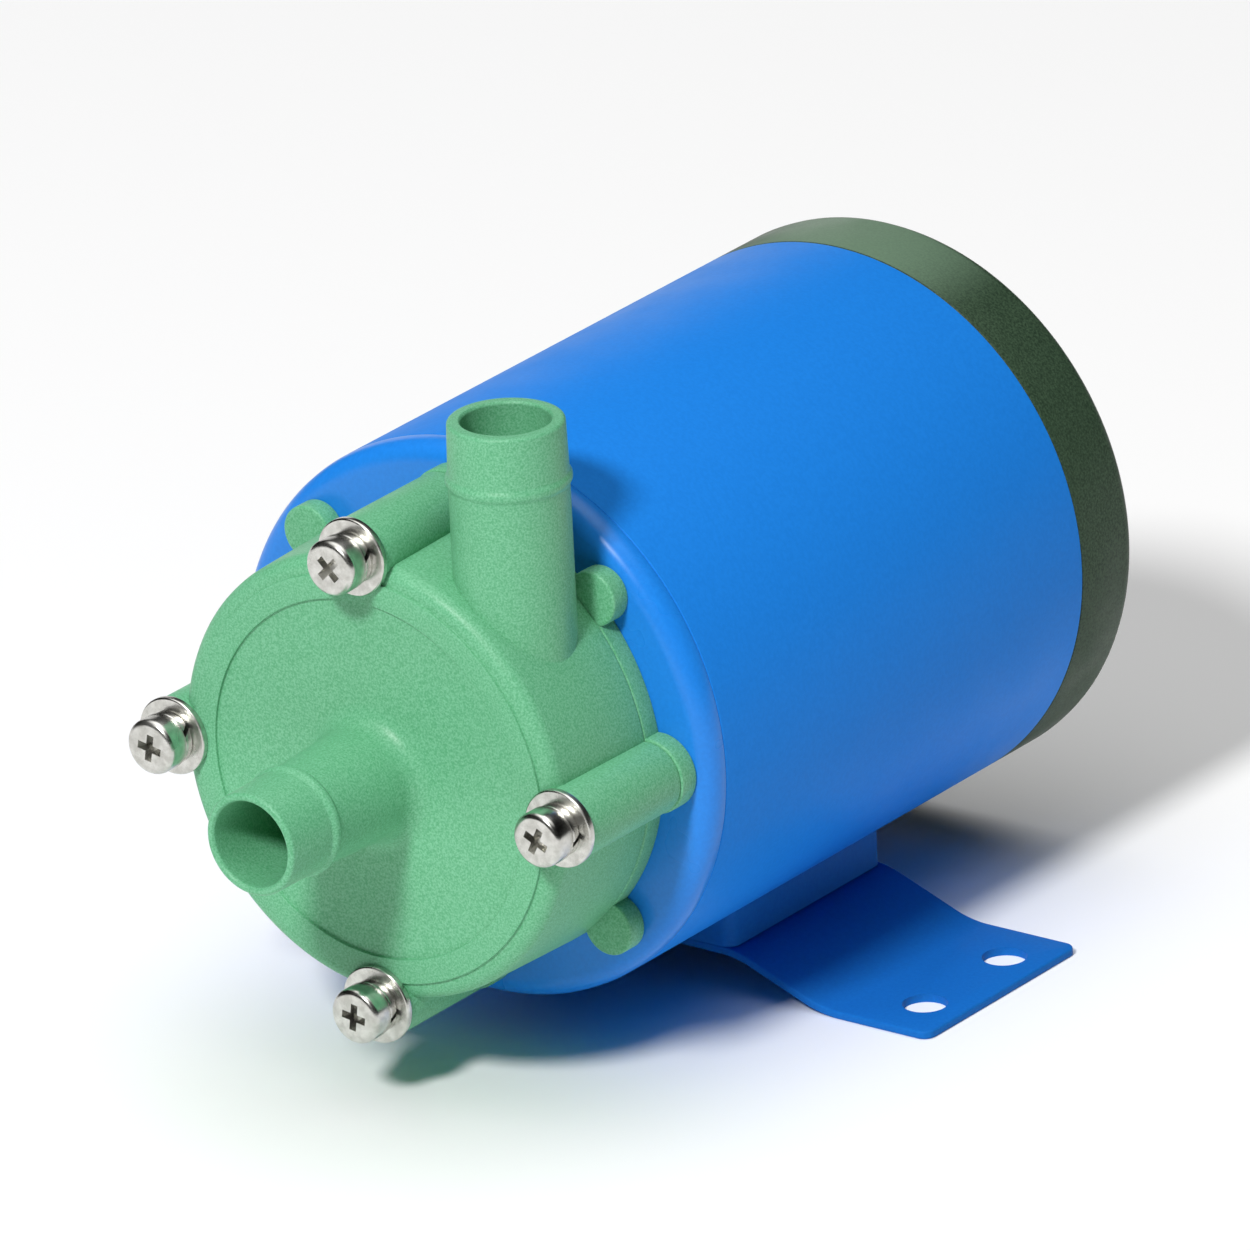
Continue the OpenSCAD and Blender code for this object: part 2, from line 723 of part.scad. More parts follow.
module rear_shield() color(cast_alloy) difference() {
    pocket_r = bearing_r + seat_gap;
    pocket_end_y = rear_bearing_y + bearing_w + wave_t;
    union() {
        sleeve(pocket_r + pocket_wall, pocket_r, rear_bearing_y, pocket_end_y + eps);
        sleeve(pocket_r + pocket_wall, lip_r, pocket_end_y, pocket_end_y + pocket_lip);
        sleeve(bore_r - seat_gap, pocket_r + pocket_wall - eps, rear_shield_y, rear_shield_y + shield_t);
    }
    around(cover_screw_angles, cover_screw_r)
        bar(small_screw_d / 2, rear_shield_y - eps, rear_shield_y + shield_t + eps);
}

module slot_outline(w, r0, r1) for (i = [0 : slot_count - 1]) rotate(360 / slot_count * i) {
    translate([r0, -w / 2]) square([r1 - r0 - w / 2, w]);
    translate([r1 - w / 2, 0]) circle(w / 2);
}

module stator_core() color(dark_steel) slab(stack_y, stack_y + stack_len) difference() {
    circle(stator_r);
    circle(stator_r_in);
    slot_outline(slot_w, slot_r_in, slot_r_out);
}

module end_turn(y0) {
    edge = end_turn_edge_r;
    r0 = slot_r_in + coil_gap;
    r1 = slot_r_out - coil_gap;
    lathe(y0) {
        translate([r0 + edge, 0]) square([r1 - r0 - 2 * edge, end_turn_h]);
        translate([r0, edge]) square([r1 - r0, end_turn_h - 2 * edge]);
        for (x = [r0 + edge, r1 - edge], y = [edge, end_turn_h - edge]) translate([x, y]) circle(edge);
    }
}

module stator_winding() color(copper) {
    end_turn(stack_y - end_turn_h - coil_gap);
    end_turn(stack_y + stack_len + coil_gap);
    slab(stack_y - coil_gap - end_turn_h / 2, stack_y + stack_len + coil_gap + end_turn_h / 2)
        slot_outline(slot_w - 2 * coil_gap, slot_r_in + coil_gap, slot_r_out - coil_gap);
}

// Half section of the bracket's disc, with its front rim rounded.
module bracket_profile() {
    translate([0, rim_r]) square([motor_r, bracket_t - rim_r]);
    square([motor_r - rim_r, bracket_t]);
    intersection() {
        translate([motor_r - rim_r, rim_r]) circle(rim_r);
        square([motor_r, rim_r]);
    }
}

module motor_bracket() color(paint_blue) difference() {
    spigot_end_y = housing_y + shield_edge;
    union() {
        lathe(face_y) bracket_profile();
        bar(bore_r - seat_gap, housing_y - eps, spigot_end_y);
    }
    bar(yoke_r + yoke_room, face_y - eps, spigot_end_y + eps);
    bar(lobe_r + small_head_d / 2 + head_gap, housing_y, spigot_end_y + eps);
    around(screw_angles, screw_r) bar(screw_d / 2, face_y - eps, housing_y + eps);
    around(lobe_angles, lobe_r) bar(small_screw_d / 2 + hole_gap, face_y - eps, housing_y + eps);
}

module bracket_screws() color(steel) around(lobe_angles, lobe_r) {
    bar(small_screw_d / 2 - seat_gap, lobe_hole_y + tip_gap, housing_y + eps);
    bar(small_head_d / 2, housing_y, housing_y + small_head_h);
}

module motor_housing() color(paint_blue) sleeve(motor_r, bore_r, housing_y, housing_end_y);

module cover_shell() {
    lathe(cover_y) difference() {
        union() {
            square([motor_r, cover_len - cover_edge_r]);
            square([motor_r - cover_edge_r, cover_len]);
            translate([motor_r - cover_edge_r, cover_len - cover_edge_r]) circle(cover_edge_r);
        }
        square([motor_r - cover_wall, cover_len - cover_wall]);
    }
    sleeve(bore_r - seat_gap, bore_r - seat_gap - spigot_wall, spigot_y, cover_y + eps);
    around(cover_screw_angles, cover_screw_r) bar(cover_boss_r, spigot_y, cover_wall_y + eps);
}

// Radial slot with round ends, cut through the cover's end wall.
module vent_slot() {
    depth = 3 * cover_wall;
    for (r = [vent_r_in, vent_r_out])
        translate([r, 0, 0]) rotate([90, 0, 0]) cylinder(d = vent_w, h = depth, center = true);
    translate([(vent_r_in + vent_r_out) / 2, 0, 0])
        cube([vent_r_out - vent_r_in, depth, vent_w], center = true);
}

module rear_cover() color(cover_dark) difference() {
    cover_shell();
    for (i = [0 : vent_count - 1])
        translate([0, cover_end_y, axis_h]) rotate([0, 360 / vent_count * (i + 0.5), 0]) vent_slot();
    around(cover_screw_angles, cover_screw_r) {
        bar(small_screw_d / 2 + hole_gap, spigot_y - eps, cover_end_y + eps);
        bar(small_head_d / 2 + head_gap, cover_seat_y, cover_end_y + eps);
    }
    around([grommet_angle], grommet_pos_r) bar(grommet_r, cover_wall_y - eps, cover_end_y + eps);
}

module cover_screws() color(steel) around(cover_screw_angles, cover_screw_r) difference() {
    crown_y = cover_seat_y + small_head_h - hole_gap;
    union() {
        bar(small_screw_d / 2 - seat_gap, rear_shield_y, cover_seat_y + eps);
        bar(small_head_d / 2, cover_seat_y, crown_y);
    }
    cross_recess(crown_y - small_recess_depth, crown_y + eps, small_recess_len, small_recess_w, 0);
}

module cable_grommet() color(rubber) around([grommet_angle], grommet_pos_r) difference() {
    union() {
        bar(grommet_r - seat_gap, cover_wall_y - eps, cover_end_y + eps);
        bar(grommet_r + grommet_lip, cover_end_y, cover_end_y + grommet_lip_t);
        bar(grommet_r + grommet_inner_lip, cover_wall_y - grommet_inner_t, cover_wall_y);
    }
    bar(grommet_hole_r, cover_wall_y - 2 * grommet_inner_t, cover_end_y + 2 * grommet_lip_t);
}

// Base

// Directions used to give a bent line its thickness; mitre() is the offset of a bend at b between a and c.
function unit(v) = v / norm(v);
function left(v) = [-v[1], v[0]];
function mitre(a, b, c) = let (n = left(unit(b - a)), m = unit(n + left(unit(c - b)))) m / (m * n);

// Section of the bent sheet, half its thickness to each side of a row of points.
module sheet_outline(points) {
    last = len(points) - 1;
    ends = [left(unit(points[1] - points[0])), left(unit(points[last] - points[last - 1]))];
    bends = [for (i = [1 : last - 1]) mitre(points[i - 1], points[i], points[i + 1])];
    offsets = concat([ends[0]], bends, [ends[1]]);
    polygon(concat(
        [for (i = [0 : last]) points[i] + sheet_mid * offsets[i]],
        [for (i = [last : -1 : 0]) points[i] - sheet_mid * offsets[i]]
    ));
}

module foot_plan() {
    w = base_w / 2 - foot_corner_r;
    d = base_len / 2 - foot_corner_r;
    square([base_w, 2 * d], center = true);
    square([2 * w, base_len], center = true);
    for (x = [-w, w], y = [-d, d]) translate([x, y]) circle(foot_corner_r);
}

module base_plate() color(paint_blue) difference() {
    mid_z = base_top_z - sheet_mid;
    intersection() {
        translate([0, base_len / 2, 0]) rotate([90, 0, 0]) linear_extrude(base_len) sheet_outline([
            [-base_w / 2, sheet_mid], [-foot_x, sheet_mid], [-rise_x, mid_z],
            [rise_x, mid_z], [foot_x, sheet_mid], [base_w / 2, sheet_mid]
        ]);
        translate([0, 0, -eps]) linear_extrude(axis_h) foot_plan();
    }
    for (x = [-hole_dx / 2, hole_dx / 2], y = [-hole_dy / 2, hole_dy / 2])
        translate([x, y, -eps]) cylinder(d = hole_d, h = base_top_z);
}

// Section of a saddle rail between the base sheet and a round of radius r about the pump axis.
module rail_outline(x_in, x_out, r) difference() {
    translate([x_in, base_top_z]) square([x_out - x_in, motor_r]);
    translate([0, axis_h]) circle(r, $fn = 360);
}

// Plan of a rail from x_in to x_out, with its two outer corners rounded.
module rail_plan(len, x_in, x_out, corner) {
    d = len / 2 - corner;
    translate([x_in, -d]) square([x_out - x_in, 2 * d]);
    translate([x_in, -len / 2]) square([x_out - x_in - corner, len]);
    for (y = [-d, d]) translate([x_out - corner, y]) circle(corner);
}

module rail_prism(len, x_out, r, corner) intersection() {
    translate([0, len / 2, 0]) rotate([90, 0, 0]) linear_extrude(len) rail_outline(rail_x_in, x_out, r);
    linear_extrude(axis_h) rail_plan(len, rail_x_in, x_out, corner);
}

module saddle_rails() color(paint_blue) for (side = [0, 1]) mirror([side, 0, 0]) difference() {
    seat_r = motor_r + seat_gap;
    hollow_len = base_len - 2 * rail_wall;
    rail_prism(base_len, rail_x, seat_r, rail_corner_r);
    translate([0, 0, -eps])
        rail_prism(hollow_len, rail_x - rail_wall, seat_r + rail_wall, rail_corner_r - rail_wall);
}

front_casing();
rear_casing();
casing_o_ring();
casing_screws();
spring_washers();
flat_washers();
spindle();
front_thrust_ring();
rear_thrust_ring();
mouth_ring();
impeller();
impeller_bush();
impeller_magnet();
magnet_cap();
drive_yoke();
drive_magnets();
yoke_screw();
motor_shaft();
rotor_core();
rotor_end_rings();
bearing_inner_rings();
cooling_fan();
bearing_outer_rings();
bearing_balls();
wave_washer();
front_shield();
rear_shield();
stator_core();
stator_winding();
motor_bracket();
bracket_screws();
motor_housing();
rear_cover();
cover_screws();
cable_grommet();
base_plate();
saddle_rails();
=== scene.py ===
# %% [markdown]
# A small magnetic drive pump: a moulded green pump head, a blue painted motor on a bent sheet foot,
# a dark rear cover and four bright screws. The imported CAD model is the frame. Pieces that show are
# modelled again here with rounded edges and fine steps; pieces that are sealed inside keep their CAD
# mesh and only get a finish. All lengths below are in millimetres unless a comment says otherwise.

# %% Load the frame
import json
import math

import bmesh
import bpy
from mathutils import Matrix, Vector


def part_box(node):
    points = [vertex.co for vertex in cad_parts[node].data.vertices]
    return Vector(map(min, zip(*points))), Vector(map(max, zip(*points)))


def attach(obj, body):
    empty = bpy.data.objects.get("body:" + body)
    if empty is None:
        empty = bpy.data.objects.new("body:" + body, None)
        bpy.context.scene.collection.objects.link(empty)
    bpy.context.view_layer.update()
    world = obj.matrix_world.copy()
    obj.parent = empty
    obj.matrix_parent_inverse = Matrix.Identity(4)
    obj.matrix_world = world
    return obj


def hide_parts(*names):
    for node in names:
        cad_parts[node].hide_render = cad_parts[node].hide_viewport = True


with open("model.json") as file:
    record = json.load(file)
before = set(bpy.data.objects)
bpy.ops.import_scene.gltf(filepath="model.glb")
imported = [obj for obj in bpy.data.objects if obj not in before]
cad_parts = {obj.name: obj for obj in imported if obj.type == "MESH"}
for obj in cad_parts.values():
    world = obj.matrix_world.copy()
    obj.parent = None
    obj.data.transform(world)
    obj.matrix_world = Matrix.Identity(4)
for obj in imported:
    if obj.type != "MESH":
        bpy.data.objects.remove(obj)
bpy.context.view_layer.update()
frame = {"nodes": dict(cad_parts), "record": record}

MM = 0.001
nodes = frame["nodes"]
AXIS_Z = (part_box("motor_housing")[0].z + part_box("motor_housing")[1].z) / 2 / MM

# %% [markdown]
# Every finish below is a node material on the Principled shader. Four small helpers serve them all:
# linear turns an sRGB colour, as read from a screen, into the values that shaders work with, add_node
# adds a node with its settings and links, new_finish starts a material, and per_metre turns a real
# size into the scale of a texture.

# %% Helpers for finishes
PRINCIPLED = "Principled BSDF"
MIX_FACTOR, MIX_A, MIX_B, MIX_RESULT = 0, 6, 7, 2       # sockets of the Mix node for colours


def linear(hex_colour):
    """The curve and its numbers are those of the sRGB standard."""
    channels = [int(hex_colour[i:i + 2], 16) / 255 for i in (1, 3, 5)]
    return [c / 12.92 if c <= 0.04045 else ((c + 0.055) / 1.055) ** 2.4 for c in channels] + [1.0]


def add_node(material, kind, sockets, **settings):
    tree = material.node_tree
    node = tree.nodes.new(kind)
    for name, value in settings.items():
        setattr(node, name, value)
    for name, value in sockets.items():
        if isinstance(value, bpy.types.NodeSocket):
            tree.links.new(value, node.inputs[name])
        else:
            node.inputs[name].default_value = value
    return node


def new_finish(name, **sockets):
    material = bpy.data.materials.new(name)
    material.use_nodes = True
    shader = material.node_tree.nodes[PRINCIPLED]
    for socket, value in sockets.items():
        shader.inputs[socket.replace("_", " ")].default_value = value
    return material, shader


def per_metre(size_mm):
    return 1.0 / (size_mm * MM)


# %% [markdown]
# The surface of a real finish is never one flat value. Most finishes here share the same build: a
# noise at a real grain size mixes two close colours, a coarser noise moves the roughness a little,
# and the fine noise also drives a bump. The grain size, the colours and the bump height differ.

# %% Grained finish
GRAIN_LOW, GRAIN_HIGH = 0.36, 0.64      # most of the fine noise lies between these
PATCH_LOW, PATCH_HIGH = 0.3, 0.7        # and most of the coarse noise between these


def grain_finish(name, dark, light, grain_mm, bump_mm, rough, patch_mm=9.0, rough_swing=0.08,
                 **sockets):
    material, shader = new_finish(name, **sockets)
    place = add_node(material, "ShaderNodeTexCoord", {}).outputs["Object"]
    grain = add_node(material, "ShaderNodeTexNoise", {
        "Vector": place, "Scale": per_metre(grain_mm), "Detail": 3.0, "Roughness": 0.6})
    patch = add_node(material, "ShaderNodeTexNoise", {
        "Vector": place, "Scale": per_metre(patch_mm), "Detail": 2.0, "Roughness": 0.5})
    spread = add_node(material, "ShaderNodeMapRange", {
        "Value": grain.outputs["Fac"], "From Min": GRAIN_LOW, "From Max": GRAIN_HIGH})
    colour = add_node(material, "ShaderNodeMix", {
        MIX_FACTOR: spread.outputs["Result"], MIX_A: linear(dark), MIX_B: linear(light)},
        data_type="RGBA")
    roughness = add_node(material, "ShaderNodeMapRange", {
        "Value": patch.outputs["Fac"], "From Min": PATCH_LOW, "From Max": PATCH_HIGH,
        "To Min": rough - rough_swing, "To Max": rough + rough_swing})
    bump = add_node(material, "ShaderNodeBump", {
        "Height": grain.outputs["Fac"], "Strength": 1.0, "Distance": bump_mm * MM})
    links = material.node_tree.links
    links.new(colour.outputs[MIX_RESULT], shader.inputs["Base Color"])
    links.new(roughness.outputs["Result"], shader.inputs["Roughness"])
    links.new(bump.outputs["Normal"], shader.inputs["Normal"])
    print("finish:", name)
    return material


# %% [markdown]
# These are the real materials of such a pump. Four of them make up most of the outside: a filled
# plastic, enamel on metal, a dark plastic and stainless steel. The enamel is one paint in three
# finishes:
# the tube's, a glossier one on the cast disc, and a darker copy on the foot that is painted shade.

# %% The finishes
# the second pair is the enamel's blue darkened: painted shade on the foot and the saddle rails
ENAMEL_BLUE, SHADED_FOOT_BLUE = ("#1E80E0", "#2186E6"), ("#196BBD", "#1B70C2")
ORANGE_PEEL = {"grain_mm": 0.6, "bump_mm": 0.004, "rough_swing": 0.04}

# Glass-filled polypropylene, moulded: short fibres at the skin make a dry, finely speckled green.
casing_pp = grain_finish("moulded_polypropylene", "#58A677", "#7AC097", grain_mm=0.28,
                         bump_mm=0.02, rough=0.44, Specular_IOR_Level=0.32)
# Baked enamel on steel: one bright blue, satin, with a faint orange peel.
blue_enamel = grain_finish("blue_baked_enamel", *ENAMEL_BLUE, rough=0.42, Specular_IOR_Level=0.05,
                           **ORANGE_PEEL)
# The same enamel on the cast bracket, sprayed wet and thick: a gloss that shows on its round rim.
bracket_enamel = grain_finish("blue_gloss_enamel", *ENAMEL_BLUE, rough=0.3, Specular_IOR_Level=0.35,
                              **ORANGE_PEEL)
# The same enamel, darkened for the foot and the saddle rails: painted shade for the shade under the
# motor.
shaded_foot_enamel = grain_finish("blue_enamel_painted_shade", *SHADED_FOOT_BLUE, rough=0.42, Specular_IOR_Level=0.05,
                           **ORANGE_PEEL)
# Moulded nylon, spark-eroded: satin, nearly black with a green cast.
cover_nylon = grain_finish("moulded_black_nylon", "#293B2C", "#405641", grain_mm=0.35,
                           bump_mm=0.012, rough=0.45, Specular_IOR_Level=0.15)
# Stainless steel, cold headed and tumbled: bright, with small soft dents.
stainless = grain_finish("stainless_steel", "#BDBCB6", "#DAD9D4", grain_mm=1.4, bump_mm=0.008,
                         rough=0.27, rough_swing=0.06, Metallic=1.0)
# Machined mild steel, lightly oiled: darker and duller than the screws.
mild_steel = grain_finish("machined_mild_steel", "#6E7074", "#84868A", grain_mm=0.8, bump_mm=0.01,
                          rough=0.36, Metallic=1.0)
# Die-cast aluminium: pale grey metal with a grainy skin.
cast_alloy = grain_finish("die_cast_aluminium", "#A9ABAF", "#BFC1C5", grain_mm=0.7, bump_mm=0.03,
                          rough=0.45, Metallic=1.0)
# Ferrite, sintered and ground: dark grey and dull.
ferrite = grain_finish("sintered_ferrite", "#2E2F32", "#3B3C40", grain_mm=0.4, bump_mm=0.01,
                       rough=0.55)
# Ceramic, ground and lapped: ivory with a soft gloss.
ceramic = grain_finish("ground_ceramic", "#E8E2D2", "#F3EEE2", grain_mm=0.6, bump_mm=0.003,
                       rough=0.2)
# Carbon bearing stock: black with a dull sheen.
carbon = grain_finish("bearing_carbon", "#242427", "#313135", grain_mm=0.4, bump_mm=0.006,
                      rough=0.4)
# Unfilled white nylon, moulded.
white_nylon = grain_finish("white_nylon", "#D6D5CC", "#E4E3DB", grain_mm=0.8, bump_mm=0.008,
                           rough=0.45)
# Moulded rubber: black, matt and slightly dusty.
rubber = grain_finish("moulded_rubber", "#17171A", "#232326", grain_mm=0.5, bump_mm=0.015,
                      rough=0.7)

# %% [markdown]
# The cover's upper side is paler: a painted highlight, standing in for light from above and behind on
# the satin plastic. It could be painted on as an image, but the surface's own direction is enough: the
# more a place faces up, the more of a pale green is mixed into its colour.

# %% Painted highlight on the cover's top
PAINTED_HIGHLIGHT_COLOUR = "#AAD0B0"
PAINTED_HIGHLIGHT_FROM, PAINTED_HIGHLIGHT_MOST = 0.84, 0.28       # upward part of the normal where the painted highlight begins; its share at the top
cover_shader = cover_nylon.node_tree.nodes[PRINCIPLED]
colour_under_highlight = cover_shader.inputs["Base Color"].links[0].from_socket
facing = add_node(cover_nylon, "ShaderNodeSeparateXYZ", {
    "Vector": add_node(cover_nylon, "ShaderNodeNewGeometry", {}).outputs["Normal"]})
painted_highlight_share = add_node(cover_nylon, "ShaderNodeMapRange", {
    "Value": facing.outputs["Z"], "From Min": PAINTED_HIGHLIGHT_FROM, "To Max": PAINTED_HIGHLIGHT_MOST},
    interpolation_type="SMOOTHSTEP")
highlighted_colour = add_node(cover_nylon, "ShaderNodeMix", {
    MIX_FACTOR: painted_highlight_share.outputs["Result"], MIX_A: colour_under_highlight, MIX_B: linear(PAINTED_HIGHLIGHT_COLOUR)},
    data_type="RGBA")
cover_nylon.node_tree.links.new(highlighted_colour.outputs[MIX_RESULT], cover_shader.inputs["Base Color"])
# prints the name of the finish that carries the painted highlight
print("dust on", cover_nylon.name)

# %% [markdown]
# The motor winding is enamelled copper wire. Its turns are too fine to model, so a wave texture rings
# the motor axis at a wire's spacing and lifts the surface like packed wires, and the same wave darkens
# the colour in the grooves between turns, which is painted shade.

# %% Winding finish
WIRE_MM, WIRE_LIFT_MM = 0.9, 0.2
WAVE_RADIANS = 20.0                     # the wave texture turns this much in a unit at scale 1
winding, winding_shader = new_finish("enamelled_copper_wire", Metallic=0.7, Roughness=0.32)
wire_place = add_node(winding, "ShaderNodeMapping", {
    "Vector": add_node(winding, "ShaderNodeTexCoord", {}).outputs["Object"],
    "Location": (0, 0, -AXIS_Z * MM)}).outputs["Vector"]
wire_rows = add_node(winding, "ShaderNodeTexWave", {
    "Vector": wire_place, "Scale": 2 * math.pi / WAVE_RADIANS * per_metre(WIRE_MM),
    "Distortion": 0.6, "Detail": 1.0, "Detail Scale": 2.0}, wave_type="RINGS", rings_direction="Y")
# dark in the grooves and bright on the crests: painted shade between the turns
wire_colour_and_groove_shade = add_node(winding, "ShaderNodeMix", {
    MIX_FACTOR: wire_rows.outputs["Fac"], MIX_A: linear("#6E3517"), MIX_B: linear("#BC6C33")},
    data_type="RGBA")
wire_bump = add_node(winding, "ShaderNodeBump", {
    "Height": wire_rows.outputs["Fac"], "Strength": 0.8, "Distance": WIRE_LIFT_MM * MM})
winding.node_tree.links.new(wire_colour_and_groove_shade.outputs[MIX_RESULT], winding_shader.inputs["Base Color"])
winding.node_tree.links.new(wire_bump.outputs["Normal"], winding_shader.inputs["Normal"])
print("finish:", winding.name)

# %% [markdown]
# Each CAD node takes the finish of its slot in the record, so the sealed pieces are right too when the
# pump is opened.

# %% Finishes of the CAD nodes
slot_finish = {
    "casing_polypropylene": casing_pp, "blue_paint": blue_enamel, "cover_plastic": cover_nylon,
    "stainless_steel": stainless, "dark_steel": mild_steel, "cast_aluminium": cast_alloy,
    "ferrite": ferrite, "winding_copper": winding, "ceramic": ceramic, "bearing_carbon": carbon,
    "white_plastic": white_nylon, "black_rubber": rubber,
}
for row in frame["record"]["subparts"]:
    mesh = nodes[row["node"]].data
    mesh.materials.clear()
    mesh.materials.append(slot_finish[row["material_slot"]])
print("dressed", len(nodes), "CAD nodes")

# %% [markdown]
# Most of this pump was turned or moulded round an axis, so one helper makes those pieces: it draws
# half of the section as a wire, rounds its corners with a vertex bevel and spins it. Rounding the
# section first gives every edge a true radius that catches light, as a real edge does.

# %% Turned solids and blocks
MOTOR_STEPS, CASING_STEPS, GROOVE_STEPS, NOZZLE_STEPS = 224, 192, 120, 96   # facets in a full turn
SCREW_STEPS, HOLE_STEPS, DRILL_STEPS = 64, 48, 40
CORNER_STEPS = 5                        # facets round a corner of a section
MERGE_MM = 0.0005                       # points that are closer than this become one
UNIT_HALF = 0.5                         # half a side of a square of 1 mm, which is scaled afterwards


def close(bm):
    """Fills what is open and turns every face outwards."""
    bmesh.ops.holes_fill(bm, edges=[edge for edge in bm.edges if edge.is_boundary])
    bmesh.ops.recalc_face_normals(bm, faces=bm.faces)


def as_object(bm, name):
    mesh = bpy.data.meshes.new(name)
    bm.to_mesh(mesh)
    bm.free()
    piece = bpy.data.objects.new(name, mesh)
    bpy.context.scene.collection.objects.link(piece)
    return piece


def turned(name, section, steps, centre=(0.0, 0.0, AXIS_Z), axis="Y", start=0.0):
    """Spins a half section of (radius, station, corner radius) points, from the angle start."""
    along = Vector((0, 1, 0)) if axis == "Y" else Vector((0, 0, 1))
    middle = Vector(centre) - along * Vector(centre).dot(along)
    spoke = Matrix.Rotation(math.radians(start), 3, axis) @ Vector((1, 0, 0))
    bm = bmesh.new()
    verts = [bm.verts.new((middle + spoke * r + along * s) * MM) for r, s, _ in section]
    on_axis = section[0][0] == 0 and section[-1][0] == 0
    for a, b in zip(verts, verts[1:] if on_axis else verts[1:] + verts[:1]):
        bm.edges.new((a, b))
    for vert, (_, _, corner) in zip(verts, section):
        if corner:
            bmesh.ops.bevel(bm, geom=[vert], offset=corner * MM, segments=CORNER_STEPS, profile=0.5,
                            affect="VERTICES", material=-1)
    bmesh.ops.spin(bm, geom=bm.verts[:] + bm.edges[:], cent=middle * MM, axis=along, dvec=(0, 0, 0),
                   angle=2 * math.pi, steps=steps, use_merge=True)
    bmesh.ops.remove_doubles(bm, verts=bm.verts, dist=MERGE_MM * MM)
    bmesh.ops.recalc_face_normals(bm, faces=bm.faces)
    return as_object(bm, name)


def block(name, size, taper_side=0, taper=(1, 1, 1)):
    """A box about the origin; one end along Y may be drawn in."""
    bm = bmesh.new()
    bmesh.ops.create_cube(bm, size=1.0)
    bmesh.ops.scale(bm, vec=Vector(size) * MM, verts=bm.verts)
    bmesh.ops.scale(bm, vec=taper, verts=[v for v in bm.verts if v.co.y * taper_side > 0])
    return as_object(bm, name)


# %% [markdown]
# Booleans join and cut the spun solids, the way a mould or a drill does. What comes several times
# round the axis is made once and repeated, so a change to one screw changes them all.

# %% Joining, cutting and repeating
OVERCUT = 1.0                           # how far a cutter runs past the face that it opens
DRILL_START = 1.3       # degrees, so that no corner of a cutter meets a spoke of the cap it cuts


def combine(piece, tool, operation):
    modifier = piece.modifiers.new(operation, "BOOLEAN")
    modifier.object, modifier.operation, modifier.solver = tool, operation, "EXACT"
    bpy.context.view_layer.update()
    depsgraph = bpy.context.evaluated_depsgraph_get()
    made = bpy.data.meshes.new_from_object(piece.evaluated_get(depsgraph))
    piece.modifiers.clear()
    piece.data = made
    bpy.data.objects.remove(tool)
    return piece


def repeated(piece, places):
    """One mesh that holds the piece's mesh once for each matrix."""
    bm = bmesh.new()
    for matrix in places:
        before = set(bm.verts)
        bm.from_mesh(piece.data)
        bmesh.ops.transform(bm, matrix=matrix, verts=[v for v in bm.verts if v not in before])
    name = piece.name
    bpy.data.objects.remove(piece)
    return as_object(bm, name)


def ring_places(angles, radius, turns=None):
    """Matrices that put a piece made on the pump axis at each angle round it."""
    turns = turns or [0] * len(angles)
    middle = Vector((0, 0, AXIS_Z * MM))
    for angle, turn in zip(angles, turns):
        a = math.radians(angle)
        shift = Vector((math.cos(a), 0, math.sin(a))) * radius * MM
        spin = (Matrix.Translation(middle) @ Matrix.Rotation(math.radians(turn), 4, "Y")
                @ Matrix.Translation(-middle))
        yield Matrix.Translation(shift) @ spin


def drill(name, radius, front, end, angles=(0,), ring=0.0):
    """Plain round cutters along the pump axis, one at each angle on a ring."""
    section = [(0, front, 0), (radius, front, 0), (radius, end, 0), (0, end, 0)]
    cutter = turned(name, section, steps=DRILL_STEPS, start=DRILL_START)
    return repeated(cutter, ring_places(angles, ring))


# %% [markdown]
# A finished piece is closed, shaded and dressed, and then takes the place of its CAD nodes. Rounded
# edges are shaded smooth and true corners sharp, by the angle between their faces.

# %% Fitting a piece
BODY = "pump"
SHARP_DEG = 35


def fit(piece, slot, *replaced, finish=None):
    """Shades the piece, gives it its finish and puts it in the place of CAD nodes."""
    bm = bmesh.new()
    bm.from_mesh(piece.data)
    bmesh.ops.remove_doubles(bm, verts=bm.verts, dist=MERGE_MM * MM)
    # a boolean can lose a sliver beside a straight edge; its outline is filled again
    close(bm)
    for face in bm.faces:
        face.smooth = True
    for edge in bm.edges:
        edge.smooth = edge.is_manifold and edge.calc_face_angle(0) < math.radians(SHARP_DEG)
    bm.to_mesh(piece.data)
    open_edges = sum(not edge.is_manifold for edge in bm.edges)
    bm.free()
    piece.data.materials.clear()
    piece.data.materials.append(finish or slot_finish[slot])
    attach(piece, BODY)
    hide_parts(*replaced)
    print(f"{piece.name}: {len(piece.data.polygons)} faces, {open_edges} open edges")


# %% [markdown]
# The pump head's front casing is one moulding: a dished body with the inlet on its axis, the outlet
# rising from its side and four bosses for the screws. Body and inlet share the axis, so they are one
# spin, with the bead that holds the hose, the wide fillet at the inlet's root and the low ridge round
# the face all drawn in its section.

# %% Front casing
low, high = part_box("front_casing")
TIP, PARTING = low.y / MM, high.y / MM
BOSS_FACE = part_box("flat_washers")[1].y / MM
RIDGE_H, RIDGE_IN, RIDGE_OUT = 0.5, 26.1, 29.6
FACE, WALL = BOSS_FACE + RIDGE_H, 3.0
CASING_R, FRONT_R, FRONT_EDGE = 32.8, 32.2, 2.0
BOSS_R, BOSS_EDGE = 5.2, 0.4
SCREW_RING, SCREW_ANGLES = 33.0, (0, 90, 180, 270)
INLET_TIP_R, INLET_NECK_R, INLET_BEAD_R, INLET_ROOT_R = 7.4, 7.5, 8.0, 8.2
INLET_BEAD_AT, INLET_FILLET, TIP_EDGE = 10.0, 3.0, 0.55
BEAD_FLAT, BEAD_SLOPE, BEAD_EDGE = 0.7, 0.6, 0.2
EASED, PARTING_EDGE = 0.12, 0.35        # small mould radii


